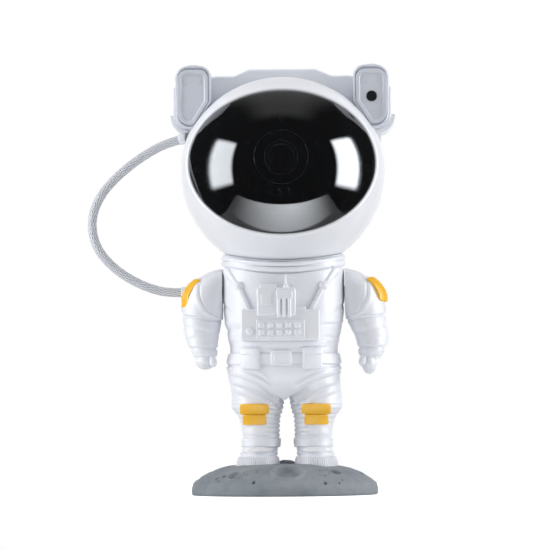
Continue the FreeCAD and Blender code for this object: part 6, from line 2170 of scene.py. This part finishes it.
@dataclass
class Studio:
    """Camera, floor and soft lamps round the projector."""

    azimuth: float = 1.2
    distance: float = 2400.0
    aim: tuple[float, float, float] = (-4.5, 0.0, 116.0)
    camera_z: float = 57.0
    seen_width: float = 290.4
    roll: float = 0.38
    sensor: float = 36.0
    table_x: tuple[float, float] = (-300.0, 300.0)
    table_y: tuple[float, float] = (-215.0, 260.0)
    taper: tuple[float, float] = (0.22, 155.0)  # share of its width that the table loses over this depth
    shade: tuple[float, float] = (0.045, 0.16)  # radii in metres between which its shade fades into white
    paper: str = "#f4f5f7"
    cloth_tint: tuple[float, float, float] = (0.93, 0.965, 1.0)
    near_glow: float = 0.75  # what the table adds to its own shade beside the object
    table_shine: float = 0.25  # brightness of the table in polished faces, below its cloth's reflection
    fill: float = 0.56  # even light from all round
    room: float = 0.012  # brightness of the dark room in reflections
    ceiling: float = 0.2  # the same of the ceiling above and behind
    ceiling_x: tuple[float, float] = (0.15, 0.55)  # its soft edges, as parts of a reflected ray's direction
    ceiling_y: tuple[float, float] = (-0.36, -0.08)
    ceiling_z: tuple[float, float] = (0.2, 0.5)
    behind: tuple[float, float] = (0.8, 0.95)  # the same of the white straight behind, along Y

    def camera(self) -> None:
        """A long lens, nearly level, a little to the right of the front."""
        data = bpy.data.cameras.new("camera")
        obj = linked("camera", data)
        data.sensor_width = self.sensor
        data.lens = self.sensor * self.distance / self.seen_width
        data.clip_start, data.clip_end = 0.01, 50.0
        turn = math.radians(self.azimuth)
        back = np.array([math.sin(turn), -math.cos(turn), 0.0]) * self.distance
        drop = self.camera_z - self.aim[2]
        obj.location = (np.array(self.aim) + back + np.array([0.0, 0.0, drop])) * MM
        obj.rotation_mode = "XYZ"
        level = Euler((math.pi / 2 - math.atan2(drop, self.distance), 0.0, turn)).to_matrix()
        rolled = level @ Matrix.Rotation(-math.radians(self.roll), 3, "Z")
        obj.rotation_euler = rolled.to_euler("XYZ")
        bpy.context.scene.camera = obj

    def lamp(self, box: Softbox) -> None:
        """Makes one lamp.

        Args:
            box: What it is like.
        """
        data = bpy.data.lights.new(box.name, "AREA")
        data.shape = "RECTANGLE"
        data.size, data.size_y = box.size[0] * MM, box.size[1] * MM
        data.energy = box.power * math.pi * data.size * data.size_y
        if box.window:
            self.framed(data, np.array(box.window, float) * MM, np.array(box.soft, float) * MM)
        if box.seen_by is SeenBy.GLOSSY:
            data.color = self.cloth_tint
        obj = linked(box.name, data)
        obj.location = np.array(box.at) * MM
        obj.rotation_mode = "QUATERNION"
        obj.rotation_quaternion = towards(np.array(box.to) - np.array(box.at))
        obj.visible_camera = False
        obj.visible_diffuse = box.seen_by is SeenBy.DIFFUSE
        obj.visible_glossy = obj.visible_transmission = box.seen_by is SeenBy.GLOSSY

    def framed(self, data: bpy.types.AreaLight, corners: Array, soft: Array) -> None:
        """Lets a lamp shine only inside a window, by its distance from each edge of the window.

        Args:
            data: The lamp.
            corners: The window's corners in order, in metres.
            soft: Width of the soft edge that starts at each corner.
        """
        tree = bare_tree(data)
        spot = node(tree, "ShaderNodeNewGeometry").outputs["Position"]
        facing = np.cross(corners[2] - corners[0], corners[3] - corners[1])
        inward = np.cross(facing, np.roll(corners, -1, axis=0) - corners)
        inward /= np.linalg.norm(inward, axis=1, keepdims=True)
        inward *= np.sign(np.sum(inward * (corners.mean(axis=0) - corners), axis=1, keepdims=True))
        level = 1.0
        for way, corner, width in zip(inward, corners, soft):
            begin = float(way @ corner)
            far = node(tree, "ShaderNodeVectorMath", {"operation": "DOT_PRODUCT"}, _0=spot, _1=tuple(way))
            share = s_curve(tree, far.outputs["Value"], begin, begin + float(width))
            level = maths(tree, "MULTIPLY", level, share)
        light = node(tree, "ShaderNodeEmission", Strength=level)
        node(tree, "ShaderNodeOutputLight", Surface=light.outputs[0])

    def floor(self) -> None:
        """A white table top that keeps the object's shadow and grows as white as the surroundings outwards.

        Polished faces see it at an even brightness of its own.
        """
        x, y = np.meshgrid(np.linspace(*self.table_x, 33), np.linspace(*self.table_y, 49))
        loss, depth = self.taper
        x = x * (1 - loss * np.clip((y - self.table_y[0]) / depth, 0, 1))
        obj = Surface.sheet(np.stack([x, y, 0 * x], -1)).to_object("floor", 30.0)
        made = bpy.data.materials.new("finish_matt_paper_floor")
        tree = bare_tree(made)
        radius = node(tree, "ShaderNodeVectorMath", {"operation": "LENGTH"}, _0=place(tree))
        out = s_curve(tree, radius.outputs["Value"], *self.shade, self.near_glow, 1.0)
        paper = node(tree, "ShaderNodeBsdfDiffuse", Color=linear(self.paper))
        glow = node(tree, "ShaderNodeEmission", Strength=out)
        both = node(tree, "ShaderNodeAddShader", _0=paper.outputs[0], _1=glow.outputs[0])
        path = node(tree, "ShaderNodeLightPath").outputs
        seen = maths(tree, "MAXIMUM", path["Is Camera Ray"], path["Is Transmission Ray"])
        mixed = node(tree, "ShaderNodeMixShader", _0=seen, _1=paper.outputs[0], _2=both.outputs[0])
        shine = node(tree, "ShaderNodeEmission", Strength=self.table_shine)
        mixed = node(tree, "ShaderNodeMixShader", _0=path["Is Glossy Ray"], _1=mixed.outputs[0],
                     _2=shine.outputs[0])
        node(tree, "ShaderNodeOutputMaterial", Surface=mixed.outputs[0])
        obj.data.materials.append(made)
        if obj.data.polygons[0].normal.z < 0:
            obj.data.flip_normals()

    def world(self) -> None:
        """White surroundings for the eye; reflections see white only behind, a dim ceiling and a dark room."""
        made = bpy.data.worlds.new("studio")
        bpy.context.scene.world = made
        tree = bare_tree(made)
        path = node(tree, "ShaderNodeLightPath").outputs
        ray = node(tree, "ShaderNodeTexCoord").outputs["Generated"]
        way = node(tree, "ShaderNodeSeparateXYZ", Vector=ray).outputs
        aside = maths(tree, "ABSOLUTE", way["X"], 0.0)
        middle = maths(tree, "SUBTRACT", 1.0, s_curve(tree, aside, *self.ceiling_x))
        upper = maths(tree, "MULTIPLY", s_curve(tree, way["Y"], *self.ceiling_y, 0.0, self.ceiling),
                      s_curve(tree, way["Z"], *self.ceiling_z))
        ceiling = maths(tree, "MULTIPLY", upper, middle)
        lit = maths(tree, "MAXIMUM", ceiling, s_curve(tree, way["Y"], *self.behind))
        lit = maths(tree, "MAXIMUM", lit, self.room)
        bent = maths(tree, "MAXIMUM", path["Is Glossy Ray"], path["Is Transmission Ray"])
        level = node(tree, "ShaderNodeMix", {"data_type": "FLOAT"}, _0=bent, _2=self.fill, _3=lit)
        level = node(tree, "ShaderNodeMix", {"data_type": "FLOAT"}, _0=path["Is Camera Ray"],
                     _2=level.outputs[0], _3=1.0)
        sky = node(tree, "ShaderNodeBackground", Color=(1, 1, 1, 1), Strength=level.outputs[0])
        node(tree, "ShaderNodeOutputWorld", Surface=sky.outputs[0])


def towards(direction: Array) -> Quaternion:
    """The rotation that points a lamp's -Z along a direction."""
    return Vector(direction).to_track_quat("-Z", "Y")


def main() -> None:
    """Builds the sub-assemblies in order, the camera and the hose first, and lights them."""
    logging.basicConfig(level=logging.INFO, format="%(name)s %(message)s")
    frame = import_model()
    bpy.context.scene.view_settings.view_transform = "Standard"
    studio = Studio()
    studio.camera()
    Hose(frame).build()
    helmet = Helmet(frame)
    helmet.build()
    Headset(frame, helmet=helmet).build()
    torso = Torso(frame)
    torso.build()
    ChestUnit(frame).build()
    Backpack(frame).build()
    for side in Side:
        Arm(frame, side=side).build()
        Leg(frame, torso=torso, side=side).build()
    MoonBase(frame).build()
    studio.floor()
    studio.world()
    for box in SOFTBOXES:
        studio.lamp(box)


if __name__ == "__main__":
    main()
